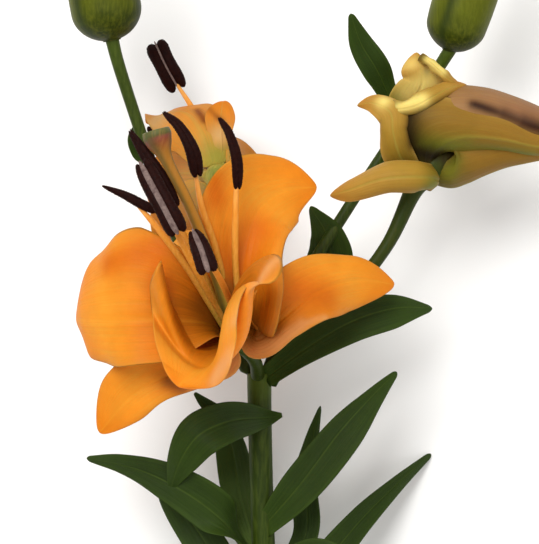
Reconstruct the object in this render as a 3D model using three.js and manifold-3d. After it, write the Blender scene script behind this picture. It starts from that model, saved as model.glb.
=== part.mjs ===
// A cut lily stem with three flowers, two buds and its leaves, lying on a flat surface.
// Millimetres. The plant is described standing: x to the right, y up the stem, z towards the viewer.
// At the end it is turned to the pose it rests in, with z up.
import * as THREE from "three";
import { mergeVertices } from "three/addons/utils/BufferGeometryUtils.js";
import Module from "manifold-3d";

// Driving dimensions
const stemRadius = 4.4;
const stemLength = 300;
const pieceGap = 0.3;
const petalThickness = 1.3;
const leafThickness = 1.2;
const marginShare = 0.55; // thickness at a margin against the middle
const ringRadius = 4.4; // of the tepal bases round the receptacle
const antherHalfWidth = 3.1;
const filamentRing = 2.7; // radius at which the filaments start

// Rest pose, in degrees and mm: turned about x, then about y, then moved so the box stands on z = 0
const restTilt = 8.05;
const restRoll = 3.51;
const restMove = [-21.19, 48.59, 50.487];

const colours = {
  stem: 0x2f4a14,
  pedicel: 0x3f5a1a,
  leaf: 0x24401a,
  petal: 0xf58a1a,
  rear: 0xe0893a,
  halfOpen: 0xc9982e,
  stamen: 0x3a1a1c,
  pistil: 0xb8702a,
  bud: 0x5b6a18,
};

const wasm = await Module();
wasm.setup();

const plant = new THREE.Group();
const cutters = []; // what later pieces must keep clear of

function vector(values) {
  return new THREE.Vector3(values[0], values[1], values[2]);
}

// Smooth curve through rows of numbers, at t from 0 to 1
function rowAt(rows, t) {
  const place = Math.min(Math.max(t, 0), 1) * (rows.length - 1);
  const i = Math.min(Math.floor(place), rows.length - 2);
  const f = place - i;
  const last = rows.length - 1;
  return rows[i].map((b, k) => {
    const c = rows[i + 1][k];
    const a = i > 0 ? rows[i - 1][k] : 2 * b - c;
    const d = i + 1 < last ? rows[i + 2][k] : 2 * c - b;
    const slope = (c - a) * f;
    const bend = (2 * a - 5 * b + 4 * c - d) * f * f;
    return 0.5 * (2 * b + slope + bend + (3 * b - a - 3 * c + d) * f ** 3);
  });
}

function directionAt(rows, t) {
  const step = 0.01;
  const ahead = vector(rowAt(rows, Math.min(t + step, 1)));
  return ahead.sub(vector(rowAt(rows, Math.max(t - step, 0)))).normalize();
}

function solidFrom(points, triangles) {
  const geometry = new THREE.BufferGeometry();
  geometry.setAttribute("position", new THREE.Float32BufferAttribute(points, 3));
  geometry.setIndex(triangles);
  const merged = mergeVertices(geometry, 1e-3);
  return new wasm.Manifold(
    new wasm.Mesh({
      numProp: 3,
      vertProperties: merged.attributes.position.array,
      triVerts: new Uint32Array(merged.index.array),
    }),
  );
}

// A leaf or tepal, in mm and degrees.
// A row is [x, y, z, half width left, half width right, cup left, cup right]:
// the midrib passes through x, y, z, and each half bends by its cup angle towards the inner face.
// side holds the direction from the left margin to the right one, from base to tip.
// roll bends each margin further, beyond the share rollFrom of its half.
function bladeSolid(blade, grow = 0) {
  const along = blade.along ?? 9;
  const across = blade.across ?? 4;
  const fold = blade.fold ?? 1.6;
  const closeFrom = blade.closeFrom ?? 0.8;
  const roll = blade.roll ?? [[0, 0], [0, 0]];
  const rollFrom = blade.rollFrom ?? 0.7;
  const thickness = blade.thickness ?? petalThickness;
  const bendSteps = 8;
  const upper = [];
  const lower = [];
  for (let i = 0; i <= along; i++) {
    const t = 1 - (1 - i / along) ** 1.3;
    const [x, y, z, left, right, cupLeft, cupRight] = rowAt(blade.rows, t);
    const ahead = directionAt(blade.rows, t);
    const side = vector(rowAt(blade.side, t));
    side.addScaledVector(ahead, -side.dot(ahead)).normalize();
    const inward = side.clone().cross(ahead);
    const close = t > closeFrom ? Math.sqrt(Math.max(1 - ((t - closeFrom) / (1 - closeFrom)) ** 2, 0)) : 1;
    for (let j = 0; j <= across; j++) {
      const u = (2 * j) / across - 1;
      const sign = Math.sign(u);
      const reach = Math.abs(u);
      const width = Math.max((u < 0 ? left : right) * close, 0.6) + grow;
      const cup = THREE.MathUtils.degToRad(u < 0 ? cupLeft : cupRight);
      const extra = THREE.MathUtils.degToRad(rowAt(roll, t)[u < 0 ? 0 : 1]);
      const bendAt = (share) => {
        const late = Math.max((share - rollFrom) / (1 - rollFrom), 0) ** 1.3;
        return cup * (1 - (1 - share) ** fold) + extra * late;
      };
      let out = 0;
      let rise = 0;
      for (let k = 0; k < bendSteps; k++) {
        const angle = bendAt(((k + 0.5) / bendSteps) * reach);
        out += (Math.cos(angle) * reach * width) / bendSteps;
        rise += (Math.sin(angle) * reach * width) / bendSteps;
      }
      const angle = bendAt(reach);
      const normal = inward.clone().multiplyScalar(Math.cos(angle));
      normal.addScaledVector(side, -sign * Math.sin(angle));
      const half = (thickness * (1 - (1 - marginShare) * reach)) / 2 + grow;
      const middle = new THREE.Vector3(x, y, z);
      middle.addScaledVector(side, sign * out).addScaledVector(inward, rise);
      if (i === along) middle.addScaledVector(ahead, grow);
      if (i === 0) middle.addScaledVector(ahead, -grow);
      upper.push(middle.clone().addScaledVector(normal, half));
      lower.push(middle.clone().addScaledVector(normal, -half));
    }
  }
  const points = [...upper, ...lower].flatMap((p) => p.toArray());
  const triangles = [];
  const quad = (a, b, c, d) => triangles.push(a, b, c, a, c, d);
  const columns = across + 1;
  const below = upper.length;
  for (let i = 0; i < along; i++) {
    for (let j = 0; j < across; j++) {
      const a = i * columns + j;
      quad(a, a + 1, a + columns + 1, a + columns);
      quad(below + a, below + a + columns, below + a + columns + 1, below + a + 1);
    }
    const a = i * columns;
    const b = a + across;
    quad(a, a + columns, below + a + columns, below + a);
    quad(b + columns, b, below + b, below + b + columns);
  }
  for (let j = 0; j < across; j++) {
    const a = along * columns + j;
    quad(j + 1, j, below + j, below + j + 1);
    quad(a, a + 1, below + a + 1, below + a);
  }
  return solidFrom(points, triangles);
}

// A round stalk along a path, closed at both ends; flat squashes it along one direction
function stalkSolid(stalk, grow = 0) {
  const { path, radii, along = 8, around = 8, flat = 1, start = [1, 0, 0] } = stalk;
  const points = [];
  const triangles = [];
  const side = vector(start);
  const ends = [];
  for (let i = 0; i <= along; i++) {
    const t = i / along;
    const ahead = directionAt(path, t);
    side.addScaledVector(ahead, -side.dot(ahead)).normalize();
    const other = ahead.clone().cross(side);
    const radius = rowAt(radii.map((r) => [r]), t)[0] + grow;
    const centre = vector(rowAt(path, t));
    if (i === 0) centre.addScaledVector(ahead, -grow);
    if (i === along) centre.addScaledVector(ahead, grow);
    ends.push(centre);
    for (let j = 0; j < around; j++) {
      const angle = (2 * Math.PI * j) / around;
      const point = centre.clone().addScaledVector(side, radius * Math.cos(angle));
      points.push(...point.addScaledVector(other, flat * radius * Math.sin(angle)).toArray());
    }
  }
  points.push(...ends[0].toArray(), ...ends[along].toArray());
  const firstEnd = (along + 1) * around;
  for (let j = 0; j < around; j++) {
    const next = (j + 1) % around;
    for (let i = 0; i < along; i++) {
      const a = i * around + j;
      const b = i * around + next;
      triangles.push(a, b, b + around, a, b + around, a + around);
    }
    triangles.push(next, j, firstEnd, along * around + j, along * around + next, firstEnd + 1);
  }
  return solidFrom(points, triangles);
}

function largestBody(solid) {
  const bodies = solid.decompose();
  return bodies.reduce((best, body) => (body.volume() > best.volume() ? body : best));
}

function boxesMeet(a, b) {
  return [0, 1, 2].every((k) => a.min[k] <= b.max[k] && b.min[k] <= a.max[k]);
}

// Cuts a new piece clear of those already placed, then adds it to the plant
function place(name, colour, make) {
  let solid = make(0);
  for (const cutter of cutters) {
    if (boxesMeet(solid.boundingBox(), cutter.box)) solid = solid.subtract(cutter.solid);
  }
  solid = largestBody(solid);
  const grown = make(pieceGap);
  cutters.push({ solid: grown, box: grown.boundingBox() });
  const made = solid.getMesh();
  const geometry = new THREE.BufferGeometry();
  geometry.setAttribute("position", new THREE.BufferAttribute(made.vertProperties, 3));
  geometry.setIndex(new THREE.BufferAttribute(made.triVerts, 1));
  geometry.computeVertexNormals();
  const material = new THREE.MeshStandardMaterial({ color: colour, roughness: 0.5, metalness: 0 });
  const mesh = new THREE.Mesh(geometry, material);
  mesh.name = name;
  plant.add(mesh);
}

// Stem and flower stalks
const stem = {
  path: [
    [0.5, 0, 0.5],
    [0.6, -14, 0],
    [1.5, -50, 0],
    [3, -90, 0],
    [5, -150, 0],
    [5, -220, -2],
    [0, -stemLength, -4],
  ],
  radii: [stemRadius + 0.4, stemRadius, stemRadius, stemRadius, stemRadius + 0.2, stemRadius + 0.4],
  along: 12,
  around: 10,
};
place("main_stem", colours.stem, (grow) => stalkSolid(stem, grow));

const pedicels = {
  pedicel_front: {
    path: [[0, -1.5, 3], [-1, 4, 14], [-4, 8, 25], [-7.2, 10.7, 32.6], [-8.7, 15.8, 36.2]],
    radii: [2.6, 2.4, 2.4, 2.7, 4.8],
  },
  pedicel_right: {
    path: [
      [3.2, -1.5, 0.5],
      [20, 17, 1],
      [37, 33, 1],
      [48.4, 48, 2],
      [56.6, 65.4, 1.8],
      [60.4, 71.6, 2],
      [65.5, 77, 1],
      [75, 83.5, 0],
    ],
    radii: [2.6, 2.4, 2.4, 2.5, 3.3, 4.8, 6, 4.2],
  },
  pedicel_rear: {
    path: [
      [-0.6, -1.5, -2.6],
      [-6, 22, -8],
      [-11.5, 48, -6],
      [-13, 66, -2],
      [-14, 71.4, -2.6],
      [-15.5, 72.5, -7.2],
    ],
    radii: [2.4, 2.2, 2.2, 2.4, 3, 4.8],
  },
  pedicel_bud_left: {
    path: [
      [-2.8, -1.5, 1],
      [-26, 40, -4],
      [-39.2, 76, -5],
      [-47.6, 101, -4],
      [-52, 115, -2],
      [-54, 123, -1],
    ],
    radii: [2.4, 2.2, 2.2, 2.3, 2.5, 3],
  },
  pedicel_bud_right: {
    path: [[3, -1.5, -3], [16, 32, -9], [33, 60, -12], [50, 86, -14], [64, 108, -12], [71, 119, -9]],
    radii: [2.4, 2.2, 2.2, 2.2, 2.4, 2.6],
  },
};
for (const [name, pedicel] of Object.entries(pedicels)) {
  place(name, colours.pedicel, (grow) => stalkSolid(pedicel, grow));
}

// Buds: closed, with the rounded base on the stalk and a blunt tip
const buds = {
  bud_left: {
    path: [[-54, 122.6, -1], [-57.5, 142, 0], [-60, 164, 1], [-61, 186, 1], [-61, 202, 0]],
    radii: [3.4, 13, 13.2, 12.7, 11, 7, 2.2],
  },
  bud_right: {
    path: [[70.9, 119.2, -9], [75.4, 134, -7], [82, 153, -6], [91, 173, -5], [99, 190, -4]],
    radii: [3, 11.3, 11.8, 11.5, 10.2, 6.6, 2.2],
  },
};
for (const [name, bud] of Object.entries(buds)) {
  place(name, colours.bud, (grow) => stalkSolid({ ...bud, along: 12, around: 12 }, grow));
}

// Front flower: tepals in a ring round its axis, each with its own rows beyond the base
function ring(centre, axis, azimuth, radius = ringRadius) {
  const up = vector(axis).normalize();
  const right = new THREE.Vector3(1, 0, 0).addScaledVector(up, -up.x).normalize();
  const far = up.clone().cross(right);
  const angle = THREE.MathUtils.degToRad(azimuth);
  const out = right.clone().multiplyScalar(Math.cos(angle)).addScaledVector(far, Math.sin(angle));
  const side = right.multiplyScalar(Math.sin(angle)).addScaledVector(far, -Math.cos(angle));
  return { base: vector(centre).addScaledVector(out, radius).toArray(), side: side.toArray() };
}

function placeTepals(tepals, centre, axis, colour, shape) {
  for (const [name, tepal] of Object.entries(tepals)) {
    const { base, side } = ring(centre, axis, tepal.azimuth);
    const rows = [[...base, 2.2, 2.2, 20, 20], ...tepal.rows];
    const blade = { ...shape, ...tepal, rows, side: [side, ...tepal.side] };
    place(name, colour, (grow) => bladeSolid(blade, grow));
  }
}

const frontCentre = [-8.6, 15.6, 36];
const frontAxis = [-0.24, 0.81, 0.54];
const frontTepals = {
  front_petal_upper: {
    azimuth: 60,
    rows: [
      [-7, 22, 40, 9, 18, 42, 40],
      [-6, 31, 42, 14, 20, 42, 45],
      [-4.5, 45, 42, 20, 15, 42, 45],
      [0, 59, 37, 22, 15, 25, 35],
      [10, 66.5, 30, 14, 12, 5, 10],
      [21.5, 68, 24, 6, 6, 0, 0],
    ],
    side: [[0.9, -0.1, 0.3], [0.72, -0.69, 0], [0.2, -0.97, -0.1]],
    roll: [[0, -20], [0, -60], [0, -120], [0, -100], [0, -40], [-20, -50], [0, 0]],
    rollFrom: 0.74,
  },
  front_petal_left: {
    azimuth: 180,
    closeFrom: 0.86,
    rows: [
      [-18, 18, 44, 8, 13, 50, 45],
      [-29, 19.5, 51, 14, 26, 30, 22],
      [-42, 19.5, 53, 16, 34, 10, -5],
      [-54, 19.5, 48, 16.5, 31, -12, -12],
      [-62.5, 19.5, 38, 14, 24, -15, -18],
      [-66, 19.5, 27, 9, 14, -20, -20],
    ],
    side: [[0, 1, -0.1], [0, 1, 0], [-0.1, 1, 0.1]],
    roll: [[0, 0], [0, 0], [0, -15], [0, -18], [-15, -20], [0, 0]],
  },
  front_petal_near: {
    azimuth: -60,
    fold: 3.4,
    closeFrom: 0.86,
    rows: [
      [-11, 9, 47, 11.5, 19.5, 90, 61],
      [-14.5, 6, 58, 51.8, 44, 82, 87],
      [-18, 3, 65, 46.5, 38, 88, 71],
      [-21.5, 2, 70, 33.8, 23.5, 88, 42],
      [-25, -0.5, 74.5, 32, 11.5, 66, 19],
      [-28, -3.5, 77, 14, 7, 30, 14],
    ],
    side: [[-0.95, -0.2, 0.1], [-1, 0, 0], [-0.97, -0.1, 0]],
    roll: [[0, 0], [-30, 0], [-80, 0], [-90, 0], [-80, 0], [-30, 0], [0, 0]],
    rollFrom: 0.6,
  },
  front_sepal_right: {
    azimuth: 0,
    rows: [
      [0.5, 12.5, 42, 10, 7.5, 40, 20],
      [9, 20, 43, 15, 9, 40, 20],
      [21, 29.5, 38, 14, 11, 25, 20],
      [36, 34, 27, 10, 11.5, -20, -20],
      [50, 32.5, 17, 4, 5.5, -5, 0],
    ],
    side: [[0.45, -0.75, 0.4], [0.55, -0.8, 0.3], [0.2, -0.95, 0.2], [0.1, -1, 0.05], [-0.1, -1, 0]],
    roll: [[0, 20], [0, -20], [0, -50], [-10, -50], [-20, -25], [0, 0]],
  },
  front_sepal_lower_left: {
    azimuth: -120,
    rows: [
      [-13.5, 7.5, 38, 9.5, 8, 5, 30],
      [-23, 3, 40, 8.5, 11, 20, 30],
      [-36, -2, 40, 8, 12.5, 20, 20],
      [-47, -9, 37, 9, 12, 10, 10],
      [-57.5, -21.5, 29, 5, 6, 0, 0],
    ],
    side: [[-0.7, 0.7, 0], [-0.7, 0.7, 0]],
    roll: [[0, 0], [-20, -10], [-30, -20], [-30, -30], [-30, -30], [0, 0]],
  },
  front_sepal_far: {
    azimuth: 120,
    rows: [
      [-13, 26, 28, 8, 8, 40, 40],
      [-19, 35, 20, 12, 12, 20, 20],
      [-28, 40, 7, 14, 14, 0, 0],
      [-37, 39, -7, 12, 12, -10, -10],
      [-43, 33, -19, 5, 5, -10, -10],
    ],
    side: [[0.6, 0.6, 0.4], [0.5, 0.7, 0.4]],
    roll: [[0, 0], [-20, -20], [-30, -30], [-30, -30], [0, 0]],
  },
};

// Stamens: a thin filament with an anther across its tip, and the pistil with its stigma
function stamenSolid(stamen, centre, axis, grow) {
  const { base } = ring(centre, axis, stamen.azimuth, filamentRing);
  const path = [base, ...stamen.filament];
  const filament = stalkSolid({ path, radii: [0.9, 1.1, 0.8], along: 5, around: 5 }, grow);
  const [from, to] = [stamen.anther[0], stamen.anther[stamen.anther.length - 1]];
  const start = vector(to).sub(vector(from)).cross(vector(stamen.face)).toArray();
  const halfWidth = stamen.halfWidth ?? antherHalfWidth;
  const radii = [1, halfWidth, halfWidth, 1];
  const anther = stalkSolid({ path: stamen.anther, radii, along: 6, around: 6, flat: 0.7, start }, grow);
  return filament.add(anther);
}

const frontStamens = {
  front_stamen_upper: {
    azimuth: 80,
    halfWidth: 2.8,
    filament: [[-15, 45, 46], [-20, 60, 50], [-22.6, 74, 51.5]],
    anther: [[-34, 94.5, 50], [-28, 89, 52.5], [-23.4, 80.5, 54], [-21.4, 71, 52.5]],
    face: [0.3, 0.2, 0.9],
  },
  front_stamen_right: {
    azimuth: 20,
    halfWidth: 2.1,
    filament: [[-8, 40, 46], [-8, 58, 49], [-7.4, 74, 50]],
    anther: [[-13.9, 92.5, 49], [-10.2, 86.6, 52], [-7.4, 77, 52], [-7.2, 66.6, 50]],
    face: [0.3, 0.2, 0.9],
  },
  front_stamen_left_high: {
    azimuth: 140,
    halfWidth: 3.2,
    filament: [[-22, 42, 55], [-32, 60, 64], [-37, 72, 66]],
    anther: [[-45.6, 87.5, 64], [-40.2, 79.2, 67], [-34.2, 70, 67.5], [-29, 60, 67]],
    face: [-0.6, -0.2, 0.8],
  },
  front_stamen_left_low: {
    azimuth: 200,
    halfWidth: 1.9,
    filament: [[-25, 38, 54], [-36, 53, 60], [-43, 61, 60]],
    anther: [[-55.6, 67.8, 59], [-47.4, 64.4, 61], [-40.7, 60.9, 61.5], [-36, 58.8, 61]],
    face: [0.1, -0.2, 0.9],
  },
  front_stamen_near: {
    azimuth: 320,
    halfWidth: 4,
    filament: [[-10, 27, 64], [-14, 36, 82], [-17.8, 41, 95.2]],
    anther: [[-22.6, 51.6, 91], [-19.6, 44.8, 95.5], [-16.9, 36.6, 97]],
    face: [0, 0.1, 1],
  },
  front_stamen_left_near: {
    azimuth: 260,
    halfWidth: 4.3,
    filament: [[-21, 36, 64], [-28, 50, 76], [-33, 60, 82]],
    anther: [[-41.2, 76, 78], [-35.8, 66, 82.5], [-31.4, 57.8, 84], [-27.6, 50.4, 83]],
    face: [-0.3, 0, 1],
  },
};

const frontPistil = {
  path: [[-8.8, 15.6, 36.4], [-15, 36, 52], [-24, 60, 66], [-31.4, 75, 70], [-34.8, 83, 70], [-36.2, 87.6, 70]],
  radii: [2.4, 2.2, 2, 2.1, 4.4, 5],
  along: 8,
};
place("front_pistil", colours.pistil, (grow) => stalkSolid(frontPistil, grow));
for (const [name, stamen] of Object.entries(frontStamens)) {
  place(name, colours.stamen, (grow) => stamenSolid(stamen, frontCentre, frontAxis, grow));
}
placeTepals(frontTepals, frontCentre, frontAxis, colours.petal, { along: 10, across: 6 });

// Rear flower: faces away from the viewer, its far tepals touch the surface
const rearCentre = [-15.4, 72.4, -7];
const rearAxis = [-0.3, 0.2, -0.93];
const rearTepals = {
  rear_petal_near: {
    azimuth: -110,
    rows: [
      [-18, 81, -9, 9, 9, 40, 40],
      [-22, 90.5, -13, 12, 14, 30, 30],
      [-27, 96, -21, 10, 15, 10, 10],
      [-35, 96.4, -30, 5.6, 11, -10, -10],
      [-42, 93, -35, 2.6, 4, -10, -10],
    ],
    side: [[-0.86, -0.4, 0], [-0.9, -0.2, 0.3]],
  },
  rear_sepal_near: {
    azimuth: -55,
    closeFrom: 0.62,
    rows: [
      [-13.4, 80, -10, 3.8, 4.5, 30, 30],
      [-13.8, 86.5, -11, 3.6, 4.8, 20, 20],
      [-13.8, 91.8, -12.6, 4.8, 5.8, 0, 0],
      [-13.6, 96.6, -15.4, 5.6, 6.6, -20, -10],
      [-13, 101, -19, 5, 5.6, -30, -20],
    ],
    side: [[-0.95, 0, 0.1], [-0.9, 0, -0.3]],
  },
  rear_petal_right: {
    azimuth: 10,
    rows: [
      [-9, 77, -15, 8, 8, 40, 40],
      [-7.6, 79, -25, 10, 9, 20, 20],
      [-6.6, 75, -37, 12, 11, 0, 0],
      [-4.4, 66, -47, 9, 11, -10, -10],
      [-2, 55, -53, 4, 4, -10, -10],
    ],
    side: [[0.1, 1, 0.3], [0.5, 0.8, 0.5]],
  },
  rear_sepal_right: {
    azimuth: 60,
    rows: [
      [-10, 66, -15, 6, 6, 40, 40],
      [-7, 59, -27, 8, 8, 20, 20],
      [-6, 52, -39, 9, 9, 0, 0],
      [-5, 44, -49, 8, 8, -10, -10],
      [-4, 36, -56, 3, 3, -10, -10],
    ],
    side: [[0.7, 0.7, -0.2], [0.7, 0.6, -0.2]],
  },
  rear_petal_lower: {
    azimuth: 125,
    rows: [
      [-20, 66, -15, 8, 8, 40, 40],
      [-24, 61, -27, 12, 12, 20, 20],
      [-27, 57, -40, 14, 14, 0, 0],
      [-29, 50, -52, 11, 11, -10, -10],
      [-29, 40, -58, 4, 4, -10, -10],
    ],
    side: [[0.8, -0.4, -0.3], [0.95, 0, -0.1]],
  },
  rear_sepal_left: {
    azimuth: 180,
    rows: [
      [-22, 73, -16, 6, 6, 40, 40],
      [-28, 74, -28, 9, 9, 20, 20],
      [-34, 73, -40, 11, 11, 0, 0],
      [-39, 68, -50, 9, 9, -10, -10],
      [-41, 60, -57, 3, 3, -10, -10],
    ],
    side: [[0, -1, 0], [0.3, -0.9, 0.2]],
  },
};

const rearPistil = {
  path: [[-15.6, 72.5, -7.4], [-18, 75, -26], [-21, 77, -40], [-22, 78, -47]],
  radii: [1.4, 1.9, 1.6, 3.8],
};
place("rear_pistil", colours.pistil, (grow) => stalkSolid(rearPistil, grow));
const rearStamens = {
  rear_stamen_upper: {
    azimuth: -90,
    halfWidth: 4.3,
    filament: [[-20, 84, -24], [-24, 97, -33], [-31, 108.4, -38]],
    anther: [[-39.2, 124, -40], [-35.2, 115.4, -37], [-30, 106, -39]],
    face: [0, 0, 1],
  },
  rear_stamen_left: {
    azimuth: -150,
    filament: [[-25, 79, -26], [-32, 84, -38], [-36.6, 86, -45.6]],
    anther: [[-41, 93, -44], [-37, 86, -47], [-34, 78, -46]],
    face: [-0.5, 0, -0.8],
  },
  rear_stamen_right: {
    azimuth: -30,
    filament: [[-13, 80, -26], [-13, 85, -38], [-13, 87, -45]],
    anther: [[-15, 95, -44], [-13, 87, -46], [-11, 79, -45]],
    face: [0, 0, -1],
  },
  rear_stamen_lower_right: {
    azimuth: 30,
    filament: [[-12, 67, -26], [-10, 63, -38], [-9, 61, -46.6]],
    anther: [[-2, 66, -46], [-9, 60.5, -48], [-15, 56, -46]],
    face: [0, 0, -1],
  },
  rear_stamen_lower_left: {
    azimuth: 150,
    filament: [[-22, 68, -26], [-24, 66, -38], [-26, 65, -46]],
    anther: [[-33, 61, -45], [-26, 65, -47], [-20, 70, -46]],
    face: [0, 0, -1],
  },
};
for (const [name, stamen] of Object.entries(rearStamens)) {
  place(name, colours.stamen, (grow) => stamenSolid(stamen, rearCentre, rearAxis, grow));
}
placeTepals(rearTepals, rearCentre, rearAxis, colours.rear, { along: 7, across: 4 });

// Half-open flower on the right: three petals still closed round each other, three sepals bent back
// A place is [x, y, z, radius, left share, right share]: a point of the bud's axis, the petal's distance
// from it, and its half widths as shares of that
const closedPetals = {
  right_petal_front: {
    azimuth: -32,
    places: [
      [60.5, 75, 1, 4.4, 1.6, 1.4],
      [59.5, 81, 2, 8.5, 1.8, 1.9],
      [63, 88.2, 3.5, 11.8, 1.8, 1.85],
      [71, 92.6, 4.5, 12.4, 1.55, 1.35],
      [81, 93, 5.5, 11.6, 1.4, 0.98],
      [92, 91, 6.5, 10.2, 1.3, 0.82],
      [104, 87.6, 7, 8.6, 1.2, 0.56],
      [117, 86, 7, 5, 1.1, 0.7],
      [126, 86, 7, 2.2, 1, 1],
    ],
    cup: [84, 72],
    roll: [[0, 20], [0, 20], [0, -10], [0, -30], [0, -30], [0, -10]],
  },
  right_petal_back_upper: {
    azimuth: 82,
    places: [
      [60.5, 75, 0, 4.2, 1.2, 1.2],
      [59, 81.5, 0, 8.5, 1.4, 1.2],
      [62.5, 88.6, 2, 11.6, 1.5, 1.2],
      [71, 93, 3.6, 12, 1.6, 1.2],
      [81, 93.2, 5, 11.5, 1.6, 1.2],
      [92, 91.2, 6, 10.2, 1.7, 1.2],
      [104, 88, 7, 8.6, 1.8, 1.2],
      [117, 86, 7, 4.8, 1.7, 1.1],
      [126, 86, 7, 2, 1.3, 1],
    ],
    cup: [78, 66],
    roll: [[0, 0], [30, 10], [70, 20], [70, 20], [50, 10]],
    rollFrom: 0.5,
  },
  right_petal_back_lower: {
    azimuth: 278,
    places: [
      [61, 74, 0, 3.4, 1.3, 1.6],
      [66.5, 77, -2, 9.6, 1.5, 2.2],
      [73, 80.5, -3, 11.2, 1.5, 2.1],
      [81, 83.4, -2, 10.6, 1.4, 1.8],
      [90, 85.6, 0, 9.6, 1.3, 1.7],
      [99, 86.6, 3, 8.8, 1.3, 1.5],
      [108, 86.8, 6, 7.4, 1.2, 1.3],
      [117, 86.2, 7, 4.6, 1.1, 1.1],
      [126, 86, 7, 2, 1, 1],
    ],
    cup: [80, 102],
  },
};

// A closed petal follows the bud's bent axis, turned round it by its azimuth from the front
function closedBlade({ azimuth, places, cup, roll, rollFrom }) {
  const angle = THREE.MathUtils.degToRad(azimuth);
  const front = new THREE.Vector3(0, 0, 1);
  const rows = [];
  const side = [];
  places.forEach(([x, y, z, radius, left, right], i) => {
    const from = vector(places[Math.max(i - 1, 0)]);
    const ahead = vector(places[Math.min(i + 1, places.length - 1)]).sub(from).normalize();
    const outer = new THREE.Vector3(-ahead.y, ahead.x, 0).normalize();
    const away = front.clone().multiplyScalar(Math.cos(angle)).addScaledVector(outer, Math.sin(angle));
    const middle = new THREE.Vector3(x, y, z).addScaledVector(away, radius);
    rows.push([...middle.toArray(), radius * left, radius * right, ...cup]);
    const across = outer.multiplyScalar(Math.cos(angle)).addScaledVector(front, -Math.sin(angle));
    side.push(across.toArray());
  });
  return { rows, side, roll, rollFrom, fold: 1, closeFrom: 0.9, along: 10, across: 6 };
}

for (const [name, petal] of Object.entries(closedPetals)) {
  const blade = closedBlade(petal);
  place(name, colours.halfOpen, (grow) => bladeSolid(blade, grow));
}
const rightSepals = {
  right_sepal_lower: {
    rows: [
      [61, 70, 6, 2.5, 3, 20, 20],
      [66, 70.4, 15, 5, 7.5, -60, -50],
      [60, 71.6, 24, 8.5, 9, -75, -70],
      [46, 71, 25, 8, 8.5, -75, -70],
      [33.5, 67, 18, 5, 5, -50, -40],
      [26.5, 65, 12, 2, 2, -20, -20],
    ],
    side: [[0.1, 0.95, 0], [0, 1, 0]],
  },
  right_sepal_middle: {
    rows: [
      [59, 72.6, 5, 2.4, 2.4, 20, 20],
      [52.5, 79, 14, 6.5, 6, -30, -30],
      [49.5, 88, 17, 6, 6.5, -60, -60],
      [48.5, 95.4, 16, 6.5, 7, -50, -40],
      [42.6, 98.8, 12, 3.6, 4.4, -30, -20],
      [36.6, 98.4, 6, 1.4, 1.6, 0, 0],
    ],
    side: [[0.9, 0.4, 0], [0.9, 0.3, 0], [0.3, 0.9, 0.1]],
  },
  right_sepal_upper: {
    rows: [
      [59, 77, -4, 2.6, 2.6, 20, 20],
      [57, 90, -5, 9, 9, 20, 20],
      [57.6, 99.5, 2, 10, 10.5, 10, 0],
      [60.6, 106.5, 6, 7.6, 9, 0, -20],
      [60, 112, 8, 7.4, 5.6, -20, -60],
      [58.4, 118, 5, 6, 4, -50, -70],
    ],
    side: [[1, 0, 0.1], [1, -0.1, 0], [0.92, -0.3, 0]],
  },
  right_sepal_fold: {
    rows: [
      [47.4, 97.6, 13, 3, 3, -40, -40],
      [52, 96.6, 16, 4.6, 4.2, -70, -80],
      [58, 97.8, 18, 5.8, 4.4, -70, -80],
      [65, 101.6, 16.6, 5.4, 4, -60, -80],
      [71, 104.6, 11.6, 4, 3.2, -50, -60],
      [77, 106, 5, 1.6, 1.6, -20, -20],
    ],
    side: [[0.25, -0.95, 0.1], [0.2, -0.98, 0], [0.45, -0.9, 0.1], [0.3, -0.95, 0.2]],
  },
  right_sepal_edge: {
    rows: [
      [59.4, 116.4, 9, 1.8, 1.8, -30, -30],
      [62.6, 114.4, 12, 2.4, 2.2, -70, -70],
      [66.6, 111, 12, 2.6, 2.2, -70, -70],
      [70.4, 107.8, 10, 2.2, 2, -60, -60],
      [74.6, 105, 6.6, 1.2, 1.2, -20, -20],
    ],
    side: [[-0.5, -0.85, 0.1], [-0.6, -0.8, 0]],
  },
};
for (const [name, sepal] of Object.entries(rightSepals)) {
  place(name, colours.halfOpen, (grow) => bladeSolid({ ...sepal, along: 8, across: 4 }, grow));
}

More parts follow.
